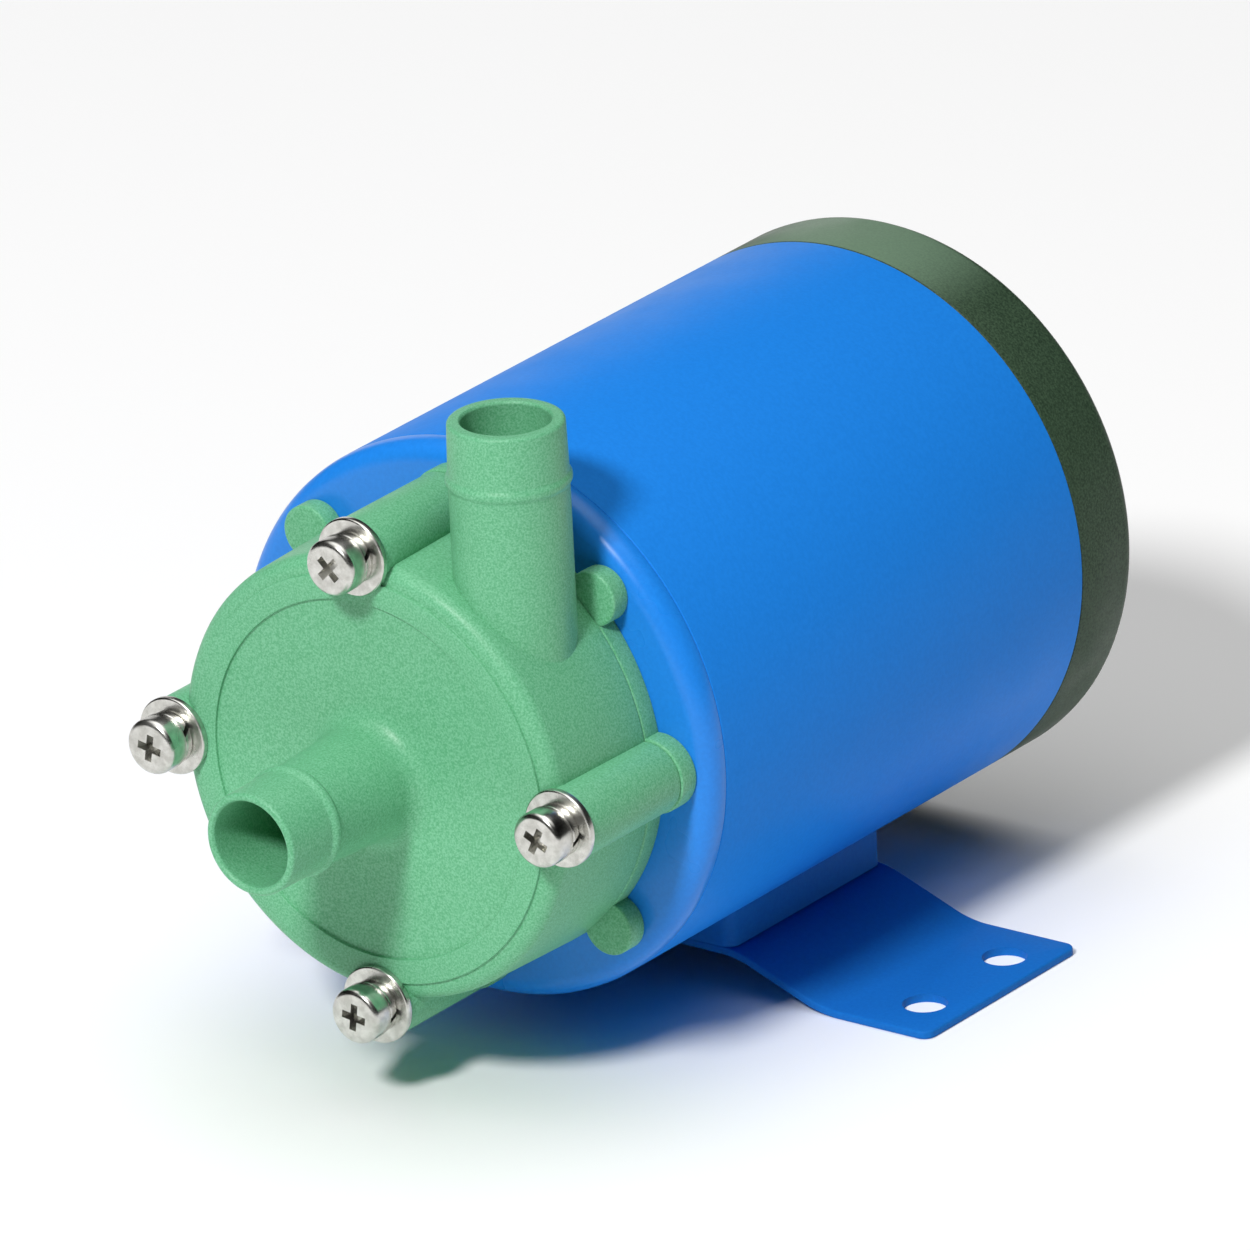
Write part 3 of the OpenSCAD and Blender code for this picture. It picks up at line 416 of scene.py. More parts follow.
def bead(neck_r, bead_r, end, inward):
    """A hose bead's section with its far edge at the station end; inward is +1 or -1."""
    return [(neck_r, end - inward * (BEAD_FLAT + BEAD_SLOPE), BEAD_EDGE),
            (bead_r, end - inward * BEAD_FLAT, BEAD_EDGE), (bead_r, end, BEAD_EDGE),
            (neck_r, end + inward * BEAD_SLOPE, BEAD_EDGE)]


casing = turned("front_casing_moulding", [
    (0, TIP, 0), (INLET_TIP_R, TIP, TIP_EDGE),
    *bead(INLET_NECK_R, INLET_BEAD_R, TIP + INLET_BEAD_AT, 1), (INLET_ROOT_R, FACE, INLET_FILLET),
    (RIDGE_IN, FACE, EASED), (RIDGE_IN, BOSS_FACE, EASED), (RIDGE_OUT, BOSS_FACE, EASED),
    (RIDGE_OUT, FACE, EASED), (FRONT_R, FACE, FRONT_EDGE), (CASING_R, PARTING, PARTING_EDGE),
    (0, PARTING, 0)], steps=CASING_STEPS)
boss = turned("bosses", [
    (0, BOSS_FACE, 0), (BOSS_R, BOSS_FACE, BOSS_EDGE), (BOSS_R, PARTING, PARTING_EDGE),
    (0, PARTING, 0)], steps=SCREW_STEPS)
combine(casing, repeated(boss, ring_places(SCREW_ANGLES, SCREW_RING)), "UNION")
print("front casing with its bosses:", len(casing.data.polygons), "faces")

# %% [markdown]
# The chamber round the impeller is a spiral: its wall moves out as it goes round from the tongue, so
# the channel widens as it collects the water. It could be drawn as a curve, but a disc whose rim is
# moved out by the angle is shorter, and pulled to the parting line it is the tool that cuts it.

# %% Spiral chamber
CHAMBER = FACE + WALL
CHAMBER_R, CHAMBER_GROWTH, TONGUE_ANGLE, SPIRAL_STEPS = 23.6, 2.0, 70, 72


def spiral_tool():
    """A disc that widens as it goes round from the tongue, pulled past the parting line."""
    bm = bmesh.new()
    bmesh.ops.create_circle(bm, cap_ends=True, segments=SPIRAL_STEPS, radius=CHAMBER_R * MM)
    for vert in bm.verts:
        gone_round = (math.degrees(math.atan2(vert.co.y, vert.co.x)) - TONGUE_ANGLE) % 360
        vert.co *= 1 + CHAMBER_GROWTH / CHAMBER_R * gone_round / 360
    start = Matrix.Translation(Vector((0, CHAMBER, AXIS_Z)) * MM)
    bmesh.ops.transform(bm, matrix=start @ Matrix.Rotation(math.pi / 2, 4, "X"), verts=bm.verts)
    front, = bmesh.ops.extrude_discrete_faces(bm, faces=bm.faces[:])["faces"]
    bmesh.ops.translate(bm, vec=(0, (PARTING + OVERCUT - CHAMBER) * MM, 0), verts=front.verts)
    close(bm)
    return as_object(bm, "spiral")


# %% [markdown]
# The outlet stands upright beside the axis, so the water leaves the chamber along a tangent. It is
# spun by itself and joined. Then the two bores, the chamber, the groove for the seal and the screw
# holes are cut. Cutting comes after joining, so it also clears what the outlet's root left inside.

# %% Outlet and bores
OUTLET_X, OUTLET_AHEAD, OUTLET_TOP = 18.1, 8.7, high.z / MM
OUTLET_TIP_R, OUTLET_NECK_R, OUTLET_BEAD_R, OUTLET_BEAD_AT = 8.1, 8.3, 8.7, 8.8
OUTLET_STEP = AXIS_Z + CHAMBER_R + CHAMBER_GROWTH
BORE_R, THROAT_R, OUTLET_THROAT_R, LEAD_IN, BORE_EDGE = 6.2, 6.5, 5.8, 0.3, 0.2
LEAD_R = BORE_R + OVERCUT + LEAD_IN
THROAT_AHEAD, SEAT_GAP = 7.0, 0.05
THROAT = FACE - THROAT_AHEAD
BORE_START = 0.7        # degrees, so that bores start between the spokes of the caps they cut
MOUTH_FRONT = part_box("mouth_ring")[0].y / MM
MOUTH_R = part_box("mouth_ring")[1].x / MM + SEAT_GAP
SEAL_R, GROOVE_W, GROOVE_DEPTH, GROOVE_EDGE, SCREW_HOLE_R = 0.75, 2.4, 1.6, 0.1, 2.2
SEAL_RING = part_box("casing_o_ring")[1].x / MM - SEAL_R
GROOVE_IN, GROOVE_OUT = SEAL_RING - GROOVE_W / 2, SEAL_RING + GROOVE_W / 2
GROOVE_FLOOR = PARTING - GROOVE_DEPTH

upright = {"centre": (OUTLET_X, PARTING - OUTLET_AHEAD, 0), "axis": "Z", "steps": NOZZLE_STEPS}
combine(casing, turned("outlet", [
    (0, OUTLET_TOP, 0), (OUTLET_TIP_R, OUTLET_TOP, TIP_EDGE),
    *bead(OUTLET_NECK_R, OUTLET_BEAD_R, OUTLET_TOP - OUTLET_BEAD_AT, -1),
    (OUTLET_NECK_R, AXIS_Z, 0), (0, AXIS_Z, 0)], **upright), "UNION")
combine(casing, turned("inlet_bore", [
    (0, TIP - OVERCUT, 0), (LEAD_R, TIP - OVERCUT, 0), (BORE_R, TIP + LEAD_IN, BORE_EDGE),
    (BORE_R, THROAT, 0), (THROAT_R, THROAT, 0), (THROAT_R, MOUTH_FRONT, 0),
    (MOUTH_R, MOUTH_FRONT, 0), (MOUTH_R, CHAMBER + OVERCUT, 0), (0, CHAMBER + OVERCUT, 0)],
    steps=NOZZLE_STEPS, start=BORE_START), "DIFFERENCE")
combine(casing, spiral_tool(), "DIFFERENCE")
combine(casing, turned("outlet_bore", [
    (0, OUTLET_TOP + OVERCUT, 0), (LEAD_R, OUTLET_TOP + OVERCUT, 0),
    (BORE_R, OUTLET_TOP - LEAD_IN, BORE_EDGE), (BORE_R, OUTLET_STEP, 0),
    (OUTLET_THROAT_R, OUTLET_STEP, 0), (OUTLET_THROAT_R, AXIS_Z, 0), (0, AXIS_Z, 0)],
    start=BORE_START, **upright), "DIFFERENCE")
combine(casing, turned("seal_groove", [
    (GROOVE_IN, GROOVE_FLOOR, GROOVE_EDGE), (GROOVE_OUT, GROOVE_FLOOR, GROOVE_EDGE),
    (GROOVE_OUT, PARTING + OVERCUT, 0), (GROOVE_IN, PARTING + OVERCUT, 0)],
    steps=GROOVE_STEPS, start=BORE_START), "DIFFERENCE")
combine(casing, drill("screw_holes", SCREW_HOLE_R, BOSS_FACE - OVERCUT, PARTING + OVERCUT,
                      SCREW_ANGLES, SCREW_RING), "DIFFERENCE")
print("front casing with its outlet and bores:", len(casing.data.polygons), "faces")

# %% [markdown]
# A three-legged spider in the inlet's throat holds the front end of the impeller's spindle. On the real
# casing it is part of the moulding, so its hub and legs are joined on, and the socket is drilled last.

# %% Spider
SPIDER_AHEAD, SPIDER_BEHIND = 5.0, 1.0
SPIDER_FRONT, SPIDER_BACK = FACE - SPIDER_AHEAD, FACE + SPIDER_BEHIND
HUB_R, HUB_EDGE = 3.8, 0.6
RIB_T, RIB_BITE, RIB_SHORTER, RIB_ANGLES = 1.6, 0.5, 0.4, (90, 210, 330)
SPINDLE_TIP, SPINDLE_END = (corner.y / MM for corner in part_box("spindle"))
SPINDLE_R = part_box("spindle")[1].x / MM + SEAT_GAP
combine(casing, turned("spider_hub", [
    (0, SPIDER_FRONT, 0), (HUB_R, SPIDER_FRONT, HUB_EDGE), (HUB_R, SPIDER_BACK, 0),
    (0, SPIDER_BACK, 0)], steps=HOLE_STEPS), "UNION")
rib_len, rib_deep = THROAT_R + RIB_BITE, SPIDER_BACK - SPIDER_FRONT - RIB_SHORTER
spider_middle = Matrix.Translation(Vector((0, (SPIDER_FRONT + SPIDER_BACK) / 2, AXIS_Z)) * MM)
for angle in RIB_ANGLES:
    rib = block("rib", (rib_len, rib_deep, RIB_T))
    turn = Matrix.Rotation(math.radians(-angle), 4, "Y")
    rib.data.transform(spider_middle @ turn @ Matrix.Translation(Vector((rib_len / 2, 0, 0)) * MM))
    combine(casing, rib, "UNION")
combine(casing, drill("spindle_socket", SPINDLE_R, SPINDLE_TIP, SPIDER_BACK + OVERCUT), "DIFFERENCE")
fit(casing, "casing_polypropylene", "front_casing")

# %% [markdown]
# Behind it the rear casing shows only its flange, with a lobe behind each boss and one between each
# pair. The flange's edges are eased like the front casing's, so the parting line is a small V. The
# sealed can that parts the liquid from the drive magnet is the middle of the same moulding.

# %% Rear casing
BRACKET_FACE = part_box("motor_bracket")[0].y / MM
CAN_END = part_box("rear_casing")[1].y / MM
CAN_R, CAN_WALL, CAN_FLOOR, CAN_EDGE, FLANGE_EDGE = 13.1, 1.5, 3.5, 0.8, 0.2
CAN_INSIDE = CAN_END - CAN_FLOOR
LOBE_R, LOBE_RING, LOBE_ANGLES = 4.0, 34.3, (45, 135, 225, 315)
BOSS_LOBE_STEP, LOBE_HOLE_R, LOBE_HOLE_SPARE = 0.25, 1.5, 0.2
LOBES = ((BOSS_R + BOSS_LOBE_STEP, SCREW_RING, SCREW_ANGLES), (LOBE_R, LOBE_RING, LOBE_ANGLES))
LOBE_HOLE_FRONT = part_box("bracket_screws")[0].y / MM - LOBE_HOLE_SPARE
rear = turned("rear_casing_moulding", [
    (0, CAN_INSIDE, 0), (CAN_R, CAN_INSIDE, CAN_EDGE), (CAN_R, PARTING, 0),
    (CASING_R, PARTING, PARTING_EDGE), (CASING_R, BRACKET_FACE, FLANGE_EDGE),
    (CAN_R + CAN_WALL, BRACKET_FACE, 0), (CAN_R + CAN_WALL, CAN_END, CAN_EDGE),
    (0, CAN_END, 0)], steps=CASING_STEPS)
for radius, ring, angles in LOBES:
    lobe = turned("lobes", [
        (0, PARTING, 0), (radius, PARTING, PARTING_EDGE), (radius, BRACKET_FACE, FLANGE_EDGE),
        (0, BRACKET_FACE, 0)], steps=SCREW_STEPS)
    combine(rear, repeated(lobe, ring_places(angles, ring)), "UNION")
combine(rear, drill("screw_holes", SCREW_HOLE_R, PARTING - OVERCUT, BRACKET_FACE + OVERCUT,
                    SCREW_ANGLES, SCREW_RING), "DIFFERENCE")
combine(rear, drill("lobe_holes", LOBE_HOLE_R, LOBE_HOLE_FRONT, BRACKET_FACE + OVERCUT,
                    LOBE_ANGLES, LOBE_RING), "DIFFERENCE")
combine(rear, drill("spindle_socket", SPINDLE_R, CAN_INSIDE - OVERCUT, SPINDLE_END), "DIFFERENCE")
fit(rear, "casing_polypropylene", "rear_casing")

# %% [markdown]
# The four casing screws are cross-recess pan heads with a spring washer and a flat washer. The head is
# spun with a rounded crown, and the recess is cut with two bars that narrow towards its floor. Each
# screw stopped at its own angle when it was tightened, so each one is turned differently.

# %% Casing screws
RECESS_TAPER = (0.45, 1.0, 0.6)         # the floor of the recess against its mouth
HEAD_UNDER_EDGE, SHANK_EDGE = 0.35, 0.4
SCREW_TURNS = (25, 45, 10, 8)


def cross_screw(name, crown, seat, end, head_r, shank_r, edge, recess_len, recess_w):
    inward = math.copysign(1.0, seat - crown)
    screw = turned(name, [
        (0, crown, 0), (head_r, crown, edge), (head_r, seat, HEAD_UNDER_EDGE), (shank_r, seat, 0),
        (shank_r, end, SHANK_EDGE), (0, end, 0)], steps=SCREW_STEPS)
    mouth = Matrix.Translation(Vector((0, crown, AXIS_Z)) * MM)
    for turn in (0, 90):
        bar = block("recess", (recess_len, abs(seat - crown), recess_w), inward, RECESS_TAPER)
        bar.data.transform(mouth @ Matrix.Rotation(math.radians(turn), 4, "Y"))
        combine(screw, bar, "DIFFERENCE")
    return screw


HEAD_FRONT, SCREW_END = (corner.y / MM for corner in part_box("casing_screws"))
HEAD_SEAT, WASHER_FRONT = (corner.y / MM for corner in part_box("spring_washers"))
screw = cross_screw("casing_screw_set", HEAD_FRONT, HEAD_SEAT, SCREW_END, head_r=4.0, shank_r=1.95,
                    edge=0.9, recess_len=5.4, recess_w=1.4)
screws = repeated(screw, ring_places(SCREW_ANGLES, SCREW_RING, SCREW_TURNS))
fit(screws, "stainless_steel", "casing_screws")

# %% [markdown]
# The flat washer is punched, so one edge of it is rounder than the other. The spring washer is a turn of
# square wire: a spun ring that a slanted cut opens, with the cut at another place on every screw.

# %% Washers
FLAT_IN, FLAT_OUT, FLAT_FRONT_EDGE, FLAT_BACK_EDGE = 2.2, 5.6, 0.3, 0.15
SPRING_IN, SPRING_OUT, SPRING_IN_EDGE, SPRING_OUT_EDGE = 2.1, 3.8, 0.1, 0.35
SPLIT_SIZE, SPLIT_SLANT, SPLIT_UP = (0.7, 5.0, 8.0), 35, 4.0
SPRING_TURNS = (100, 70, 60, 100)
flat = turned("flat_washer_set", [
    (FLAT_IN, WASHER_FRONT, 0), (FLAT_OUT, WASHER_FRONT, FLAT_FRONT_EDGE),
    (FLAT_OUT, BOSS_FACE, FLAT_BACK_EDGE), (FLAT_IN, BOSS_FACE, 0)], steps=SCREW_STEPS)
flats = repeated(flat, ring_places(SCREW_ANGLES, SCREW_RING))
fit(flats, "stainless_steel", "flat_washers")

spring = turned("spring_washer_set", [
    (SPRING_IN, HEAD_SEAT, SPRING_IN_EDGE), (SPRING_OUT, HEAD_SEAT, SPRING_OUT_EDGE),
    (SPRING_OUT, WASHER_FRONT, SPRING_OUT_EDGE), (SPRING_IN, WASHER_FRONT, SPRING_IN_EDGE)],
    steps=SCREW_STEPS)
split = block("split", SPLIT_SIZE)
split_middle = Vector((0, (HEAD_SEAT + WASHER_FRONT) / 2, AXIS_Z + SPLIT_UP)) * MM
split.data.transform(Matrix.Translation(split_middle)
                     @ Matrix.Rotation(math.radians(SPLIT_SLANT), 4, "Z"))
combine(spring, split, "DIFFERENCE")
springs = repeated(spring, ring_places(SCREW_ANGLES, SCREW_RING, SPRING_TURNS))
fit(springs, "stainless_steel", "spring_washers")

# %% [markdown]
# The motor is a painted steel tube closed by a front bracket. The bracket's rim has a wide soft radius
# that shows as a pale band in its glossier coat, and both edges of the joint are eased, so the seam
# reads as a fine line.

# %% Bracket and housing
low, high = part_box("motor_housing")
MOTOR_R, HOUSING_FRONT, HOUSING_END = (high.x - low.x) / 2 / MM, low.y / MM, high.y / MM
SPIGOT_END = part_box("motor_bracket")[1].y / MM
BRACKET_BORE_R, RIM_EDGE, SEAM_EDGE = 23.55, 3.0, 0.25
TUBE_BORE_R, SPIGOT_R, BRACKET_SPIGOT_IN = 39.0, 38.95, 37.35
BRACKET_TAP_R, BRACKET_CLEAR_R = 2.0, 1.6       # for the casing screws and the bracket screws
bracket = turned("motor_bracket_disc", [
    (BRACKET_BORE_R, BRACKET_FACE, 0), (MOTOR_R, BRACKET_FACE, RIM_EDGE),
    (MOTOR_R, HOUSING_FRONT, SEAM_EDGE), (SPIGOT_R, HOUSING_FRONT, 0), (SPIGOT_R, SPIGOT_END, 0),
    (BRACKET_SPIGOT_IN, SPIGOT_END, 0), (BRACKET_SPIGOT_IN, HOUSING_FRONT, 0),
    (BRACKET_BORE_R, HOUSING_FRONT, 0)], steps=MOTOR_STEPS)
through = (BRACKET_FACE - OVERCUT, HOUSING_FRONT + OVERCUT)
combine(bracket, drill("screw_holes", BRACKET_TAP_R, *through, SCREW_ANGLES, SCREW_RING),
        "DIFFERENCE")
combine(bracket, drill("lobe_holes", BRACKET_CLEAR_R, *through, LOBE_ANGLES, LOBE_RING),
        "DIFFERENCE")
fit(bracket, "blue_paint", "motor_bracket", finish=bracket_enamel)
tube = turned("motor_housing_tube", [
    (TUBE_BORE_R, HOUSING_FRONT, 0), (MOTOR_R, HOUSING_FRONT, SEAM_EDGE),
    (MOTOR_R, HOUSING_END, SEAM_EDGE), (TUBE_BORE_R, HOUSING_END, 0)], steps=MOTOR_STEPS)
fit(tube, "blue_paint", "motor_housing")

# %% [markdown]
# The foot is a strip of steel sheet bent four times. Its line is drawn as a wire, the bends are rounded
# with a vertex bevel, and the wire is pulled out along the pump. The sheet's corners are rounded, it
# gets its thickness, its cut edge is eased, and last the four holes are drilled.

# %% Base plate
low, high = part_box("base_plate")
half_w, half_len, top = high.x / MM, high.y / MM, high.z / MM
SHEET, RISE_X, FOOT_X = 1.2, 20.4, 35.0
BEND_R, BEND_STEPS, CORNER_R, ROUND_STEPS = 2.5, 6, 1.8, 8
CUT_EDGE, CUT_EDGE_STEPS, CUT_DEG = 0.3, 3, 60
FOOT_HOLE_X, FOOT_HOLE_Y, FOOT_HOLE_R, HOLE_BOTTOM, HOLE_TOP = 46.5, 9.5, 3.2, -2, 6
NEAR = 1e-6                             # metres
bm = bmesh.new()
line = [(-half_w, SHEET), (-FOOT_X, SHEET), (-RISE_X, top), (RISE_X, top), (FOOT_X, SHEET),
        (half_w, SHEET)]
verts = [bm.verts.new(Vector((x, -half_len, z)) * MM) for x, z in line]
for a, b in zip(verts, verts[1:]):
    bm.edges.new((a, b))
for vert in verts[1:-1]:
    bmesh.ops.bevel(bm, geom=[vert], offset=BEND_R * MM, segments=BEND_STEPS, profile=0.5,
                    affect="VERTICES", material=-1)
pulled = bmesh.ops.extrude_edge_only(bm, edges=bm.edges[:])["geom"]
far_side = [g for g in pulled if isinstance(g, bmesh.types.BMVert)]
bmesh.ops.translate(bm, vec=(0, 2 * half_len * MM, 0), verts=far_side)
corners = [v for v in bm.verts if abs(abs(v.co.x) - half_w * MM) < NEAR]
bmesh.ops.bevel(bm, geom=corners, offset=CORNER_R * MM, segments=ROUND_STEPS, profile=0.5,
                affect="VERTICES", material=-1)
bmesh.ops.recalc_face_normals(bm, faces=bm.faces)
if sum(f.normal.z for f in bm.faces) < 0:
    bmesh.ops.reverse_faces(bm, faces=bm.faces)
bmesh.ops.solidify(bm, geom=bm.faces[:], thickness=SHEET * MM)
bmesh.ops.recalc_face_normals(bm, faces=bm.faces)
cut_edge = [edge for edge in bm.edges
            if edge.is_manifold and edge.calc_face_angle() > math.radians(CUT_DEG)]
bmesh.ops.bevel(bm, geom=cut_edge, offset=CUT_EDGE * MM, segments=CUT_EDGE_STEPS, profile=0.5,
                affect="EDGES", material=-1)
plate = as_object(bm, "base_sheet")
hole = [(0, HOLE_BOTTOM, 0), (FOOT_HOLE_R, HOLE_BOTTOM, 0), (FOOT_HOLE_R, HOLE_TOP, 0),
        (0, HOLE_TOP, 0)]
for x in (-FOOT_HOLE_X, FOOT_HOLE_X):
    for y in (-FOOT_HOLE_Y, FOOT_HOLE_Y):
        combine(plate, turned("hole", hole, steps=HOLE_STEPS, centre=(x, y, 0), axis="Z"),
                "DIFFERENCE")
# the foot's darker blue is painted shade
fit(plate, "blue_paint", "base_plate", finish=shaded_foot_enamel)

# %% [markdown]
# Two pressed rails carry the motor on the foot. Each is a shell of the foot's sheet with rounded upright
# corners and a top that follows the motor. It could be bent up as one sheet, but it is simpler as two
# blocks with rounded corners, each hollowed by the motor's round, and the smaller one taken out.

# %% Saddle rails
low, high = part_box("saddle_rails")
RAIL_IN, RAIL_OUT, RAIL_FOOT, RAIL_HALF = 7.0, high.x / MM, low.z / MM, high.y / MM
RAIL_CORNER, RAIL_TALL, SIDES = 2.0, 7.0, (0, 180)


def rail_block(x_in, x_out, foot, half, corner, seat_r):
    """A block on the foot with rounded outer corners, its top cut to a round about the motor."""
    bm = bmesh.new()
    bmesh.ops.create_grid(bm, x_segments=1, y_segments=1, size=UNIT_HALF * MM)
    bmesh.ops.scale(bm, vec=(x_out - x_in, 2 * half, 1), verts=bm.verts)
    bmesh.ops.bevel(bm, geom=[v for v in bm.verts if v.co.x > 0], offset=corner * MM,
                    segments=ROUND_STEPS, profile=0.5, affect="VERTICES", material=-1)
    bmesh.ops.translate(bm, vec=Vector(((x_in + x_out) / 2, 0, foot)) * MM, verts=bm.verts)
    top, = bmesh.ops.extrude_discrete_faces(bm, faces=bm.faces[:])["faces"]
    bmesh.ops.translate(bm, vec=(0, 0, (RAIL_FOOT + RAIL_TALL - foot) * MM), verts=top.verts)
    close(bm)
    front, end = -half - OVERCUT, half + OVERCUT
    motor = turned("motor_round", [(0, front, 0), (seat_r, front, 0), (seat_r, end, 0),
                                   (0, end, 0)], steps=MOTOR_STEPS)
    return combine(as_object(bm, "saddle_rail_pair"), motor, "DIFFERENCE")


rail = rail_block(RAIL_IN, RAIL_OUT, RAIL_FOOT, RAIL_HALF, RAIL_CORNER, MOTOR_R + SEAT_GAP)
hollow = rail_block(RAIL_IN - OVERCUT, RAIL_OUT - SHEET, RAIL_FOOT - OVERCUT, RAIL_HALF - SHEET,
                    RAIL_CORNER - SHEET, MOTOR_R + SEAT_GAP + SHEET)
combine(rail, hollow, "DIFFERENCE")
rails = repeated(rail, [Matrix.Rotation(math.radians(side), 4, "Z") for side in SIDES])
# the rails' darker blue is painted shade
fit(rails, "blue_paint", "saddle_rails", finish=shaded_foot_enamel)

# %% [markdown]
# The rear cover is a shallow moulded cap over the fan, with a soft outer edge and a spigot that enters
# the motor tube. It is one spin, and the three bosses for its screws are joined inside.

# %% Rear cover
low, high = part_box("rear_cover")
COVER_FRONT, SPIGOT_FRONT, COVER_END = HOUSING_END, low.y / MM, high.y / MM
COVER_WALL, COVER_EDGE, COVER_INNER_EDGE = 2.5, 2.4, 1.0
SPIGOT_WALL, SPIGOT_EDGE = 2.0, 0.3
COVER_BOSS_R, COVER_BOSS_BITE = 3.4, 0.5
COVER_SCREW_RING, COVER_SCREW_ANGLES = 33.4, (30, 150, 270)
wall_front = COVER_END - COVER_WALL
boss_end = wall_front + COVER_BOSS_BITE
cover = turned("rear_cover_moulding", [
    (0, COVER_END, 0), (MOTOR_R, COVER_END, COVER_EDGE), (MOTOR_R, COVER_FRONT, SEAM_EDGE),
    (SPIGOT_R, COVER_FRONT, 0), (SPIGOT_R, SPIGOT_FRONT, SPIGOT_EDGE),
    (SPIGOT_R - SPIGOT_WALL, SPIGOT_FRONT, SPIGOT_EDGE), (SPIGOT_R - SPIGOT_WALL, COVER_FRONT, 0),
    (MOTOR_R - COVER_WALL, COVER_FRONT, 0), (MOTOR_R - COVER_WALL, wall_front, COVER_INNER_EDGE),
    (0, wall_front, 0)], steps=MOTOR_STEPS)
cover_boss = turned("cover_bosses", [
    (0, SPIGOT_FRONT, 0), (COVER_BOSS_R, SPIGOT_FRONT, SPIGOT_EDGE), (COVER_BOSS_R, boss_end, 0),
    (0, boss_end, 0)], steps=DRILL_STEPS)
combine(cover, repeated(cover_boss, ring_places(COVER_SCREW_ANGLES, COVER_SCREW_RING)), "UNION")
print("rear cover with its bosses:", len(cover.data.polygons), "faces")

# %% [markdown]
# Radial vents let the fan draw its air, and the screws are sunk, so that nothing stands out behind. Each
# vent is cut by one bar with round ends that is wider at the outside, which leaves a chamfer.

# %% Vents and holes in the cover
VENTS, VENT_W, VENT_IN, VENT_OUT, VENT_FLARE = 18, 2.6, 13.0, 28.4, 0.45
VENT_ROUND, VENT_STEPS = 0.499, 6       # share of the width, just short of a full half round
COVER_HOLE_R, COVER_SEAT_R, COVER_HEAD_H = 1.7, 3.05, 2.0
GROMMET_RING, GROMMET_ANGLE, GROMMET_HOLE_R = 32.4, 210, 4.0
COVER_SCREW_END, CROWN = (corner.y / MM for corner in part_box("cover_screws"))
SUNK = CROWN - COVER_HEAD_H


def vent_tool():
    """A slot with round ends, drawn flat, raised through the wall and widened at the outside."""
    length, start = VENT_OUT - VENT_IN + VENT_W, wall_front - OVERCUT
    place = Matrix.Translation(Vector(((VENT_IN + VENT_OUT) / 2, start, AXIS_Z)) * MM)
    bm = bmesh.new()
    bmesh.ops.create_grid(bm, x_segments=1, y_segments=1, size=UNIT_HALF * MM)
    bmesh.ops.scale(bm, vec=(length, VENT_W, 1), verts=bm.verts)
    bmesh.ops.bevel(bm, geom=bm.verts[:], offset=VENT_ROUND * VENT_W * MM, segments=VENT_STEPS,
                    profile=0.5, affect="VERTICES", material=-1)
    bmesh.ops.transform(bm, matrix=place @ Matrix.Rotation(math.pi / 2, 4, "X"), verts=bm.verts)
    face = bm.faces[:][0]
    for rise, flare in ((COVER_END - VENT_FLARE - start, 0), (2 * VENT_FLARE, 2 * VENT_FLARE)):
        face, = bmesh.ops.extrude_discrete_faces(bm, faces=[face])["faces"]
        bmesh.ops.translate(bm, vec=(0, rise * MM, 0), verts=face.verts)
        bmesh.ops.scale(bm, vec=(1 + 2 * flare / length, 1, 1 + 2 * flare / VENT_W),
                        verts=face.verts, space=Matrix.Translation(-face.calc_center_bounds()))
    close(bm)
    return as_object(bm, "vents")


middle = Matrix.Translation(Vector((0, 0, AXIS_Z)) * MM)
vent_turns = [Matrix.Rotation(2 * math.pi * (k + 0.5) / VENTS, 4, "Y") for k in range(VENTS)]
vents = repeated(vent_tool(), [middle @ turn @ middle.inverted() for turn in vent_turns])
combine(cover, vents, "DIFFERENCE")
cover_hole = turned("cover_holes", [
    (0, SPIGOT_FRONT - OVERCUT, 0), (COVER_HOLE_R, SPIGOT_FRONT - OVERCUT, 0),
    (COVER_HOLE_R, SUNK, 0), (COVER_SEAT_R, SUNK, 0), (COVER_SEAT_R, COVER_END + OVERCUT, 0),
    (0, COVER_END + OVERCUT, 0)], steps=DRILL_STEPS)
combine(cover, repeated(cover_hole, ring_places(COVER_SCREW_ANGLES, COVER_SCREW_RING)), "DIFFERENCE")
grommet_hole = turned("grommet_hole", [
    (0, wall_front - OVERCUT, 0), (GROMMET_HOLE_R, wall_front - OVERCUT, 0),
    (GROMMET_HOLE_R, COVER_END + OVERCUT, 0), (0, COVER_END + OVERCUT, 0)], steps=HOLE_STEPS)
combine(cover, repeated(grommet_hole, ring_places((GROMMET_ANGLE,), GROMMET_RING)), "DIFFERENCE")
fit(cover, "cover_plastic", "rear_cover")

# %% [markdown]
# Three small screws of the same kind hold the cover, and a rubber grommet guards the motor's lead where
# it leaves. The grommet's section has a neck for the cover's wall, with a lip on each side of it.

# %% Cover screws and grommet
COVER_SCREW_TURNS = (20, 65, 40)
LEAD_HOLE_R, INNER_LIP_R, NECK_R, OUTER_LIP_R = 2.6, 4.6, 3.95, 5.4
INNER_LIP_EDGE, WALL_EDGE, OUTER_LIP_EDGE = 0.3, 0.1, 0.5
cover_screw = cross_screw("cover_screw_set", CROWN, SUNK, COVER_SCREW_END, head_r=2.75, shank_r=1.45,
                          edge=0.5, recess_len=3.3, recess_w=0.85)
cover_screws = repeated(cover_screw, ring_places(COVER_SCREW_ANGLES, COVER_SCREW_RING,
                                                 COVER_SCREW_TURNS))
fit(cover_screws, "stainless_steel", "cover_screws")

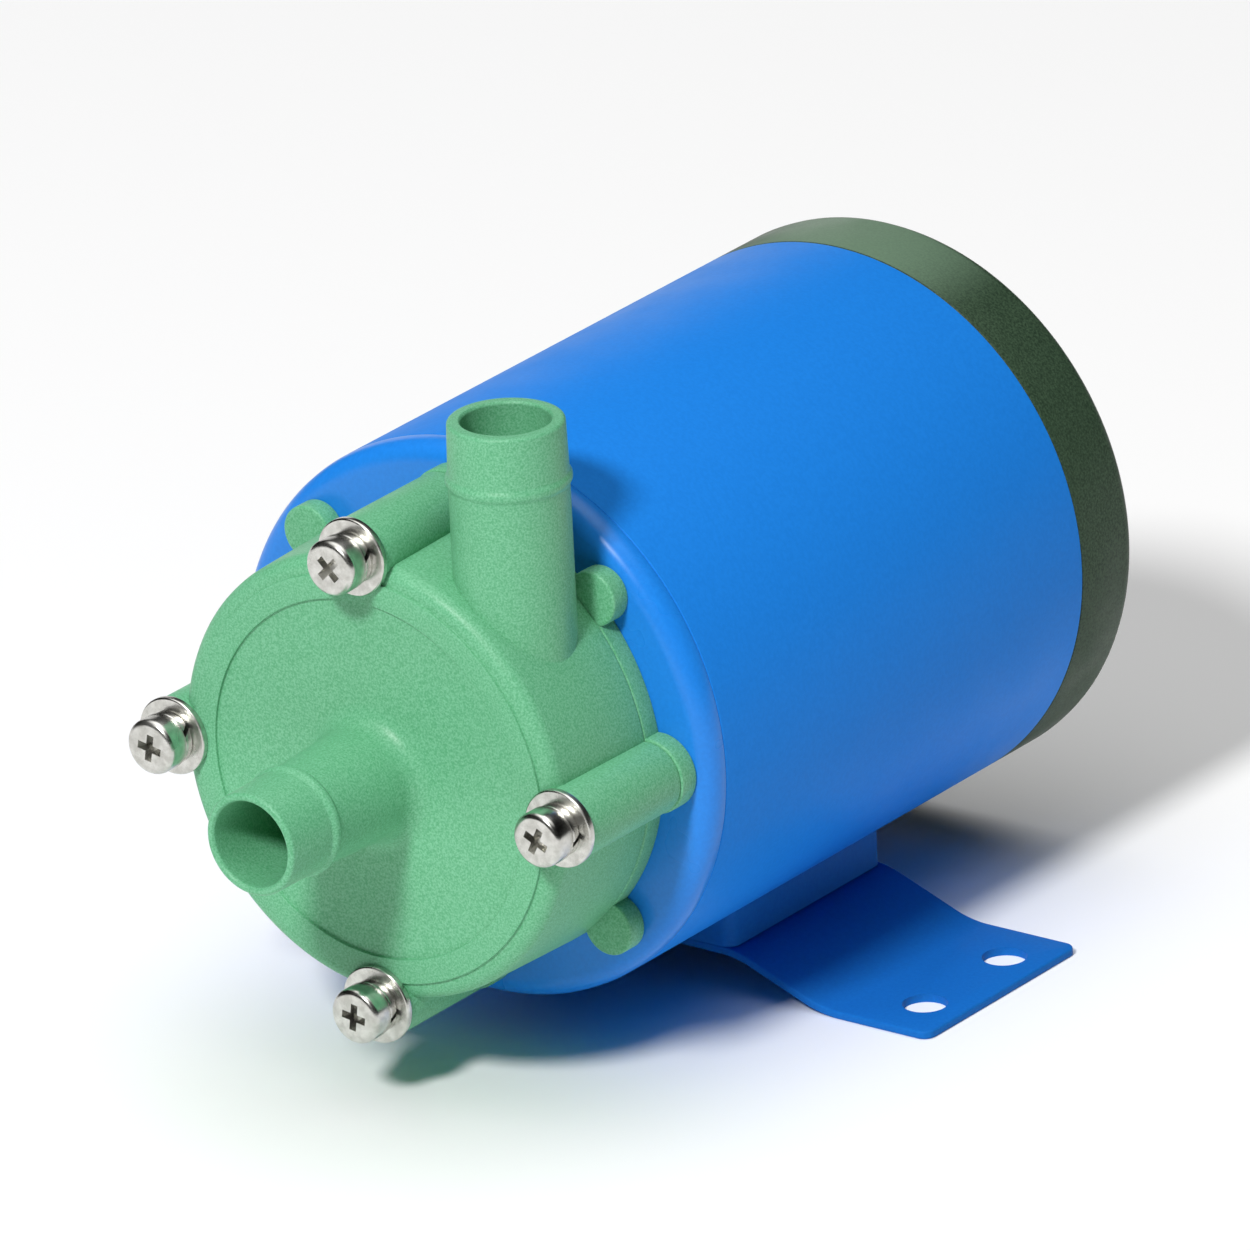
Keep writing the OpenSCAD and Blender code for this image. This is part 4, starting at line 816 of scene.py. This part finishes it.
GROMMET_FRONT, GROMMET_END = (corner.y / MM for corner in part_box("cable_grommet"))
grommet = turned("cable_grommet_ring", [
    (LEAD_HOLE_R, GROMMET_FRONT, INNER_LIP_EDGE), (INNER_LIP_R, GROMMET_FRONT, INNER_LIP_EDGE),
    (INNER_LIP_R, wall_front, WALL_EDGE), (NECK_R, wall_front, 0), (NECK_R, COVER_END, 0),
    (OUTER_LIP_R, COVER_END, WALL_EDGE), (OUTER_LIP_R, GROMMET_END, OUTER_LIP_EDGE),
    (LEAD_HOLE_R, GROMMET_END, OUTER_LIP_EDGE)], steps=SCREW_STEPS)
placed = repeated(grommet, ring_places((GROMMET_ANGLE,), GROMMET_RING))
fit(placed, "black_rubber", "cable_grommet")

# %% [markdown]
# A plain studio: a wide pale floor and one soft key lamp high in front, which throws the inlet's shadow
# down the face and the motor's onto the foot. A weak wide lamp behind draws a fine line on the bracket's
# rim. The world is bright only overhead and dark at the horizon, so the blue keeps its depth low on the
# motor's side. The floor is lit like the object, so it keeps the shadow.

# %% Floor, lamps and world
FLOOR_HALF, LAMP_FAR = 3.0, 3.0         # metres
TARGET = Vector((13.77, -30.83, 58.58)) * MM    # the middle of the view, which the lamps face too
SKY_FROM, SKY_ZENITH = 0.75, 2.27       # height where the sky's light begins, of 1; its strength at 1
bm = bmesh.new()
bmesh.ops.create_grid(bm, x_segments=1, y_segments=1, size=FLOOR_HALF)
floor = as_object(bm, "floor")
# Matt white paper, as studios use it.
floor_paper, _ = new_finish("matt_white_paper", Roughness=0.9, Base_Color=linear("#FDFDFD"),
                            Specular_IOR_Level=0.0)
floor.data.materials.append(floor_paper)


def lamp(name, direction, size, watts):
    """A round lamp, its size in metres, that faces the target from the given direction."""
    data = bpy.data.lights.new(name, "AREA")
    data.shape, data.size, data.energy = "DISK", size, watts
    holder = bpy.data.objects.new(name, data)
    holder.location = TARGET + direction.normalized() * LAMP_FAR
    holder.rotation_mode = "QUATERNION"
    holder.rotation_quaternion = direction.to_track_quat("Z", "Y")
    bpy.context.scene.collection.objects.link(holder)


lamp("key", Vector((0.19, -1.05, 1.0)), size=0.5, watts=70.0)
lamp("back", Vector((-0.70, 0.69, 0.17)), size=1.5, watts=5.0)

world = bpy.data.worlds.new("studio")
bpy.context.scene.world = world
world.use_nodes = True
height = add_node(world, "ShaderNodeSeparateXYZ", {
    "Vector": add_node(world, "ShaderNodeTexCoord", {}).outputs["Generated"]})
strength = add_node(world, "ShaderNodeMapRange", {
    "Value": height.outputs["Z"], "From Min": SKY_FROM, "From Max": 1.0, "To Min": 0.0,
    "To Max": SKY_ZENITH})
background = world.node_tree.nodes["Background"]
background.inputs["Color"].default_value = linear("#FFFFFF")
world.node_tree.links.new(strength.outputs["Result"], background.inputs["Strength"])
print("stage ready")

# %% [markdown]
# The photograph was taken with a long lens from the front right and a little above. The camera below
# has the directions that were fitted to the rims and the foot, with a slight roll.

# %% Camera
RIGHT = Vector((0.8043, 0.5923, -0.0466))
UP = Vector((-0.1869, 0.3268, 0.9264))
BACK = Vector((0.5640, -0.7364, 0.3736))
CAMERA_FAR, VIEW_WIDTH = 2.5, 0.1715    # metres
camera = bpy.data.objects.new("camera", bpy.data.cameras.new("camera"))
bpy.context.scene.collection.objects.link(camera)
columns = Matrix((RIGHT, UP, BACK)).transposed().to_4x4()
camera.matrix_world = Matrix.Translation(TARGET + BACK * CAMERA_FAR) @ columns
camera.data.sensor_width = 36.0
camera.data.lens = camera.data.sensor_width * CAMERA_FAR / VIEW_WIDTH
camera.data.clip_start, camera.data.clip_end = 0.05, 50.0
bpy.context.scene.camera = camera
bpy.context.scene.view_settings.view_transform = "Standard"
print("camera lens:", round(camera.data.lens), "mm")
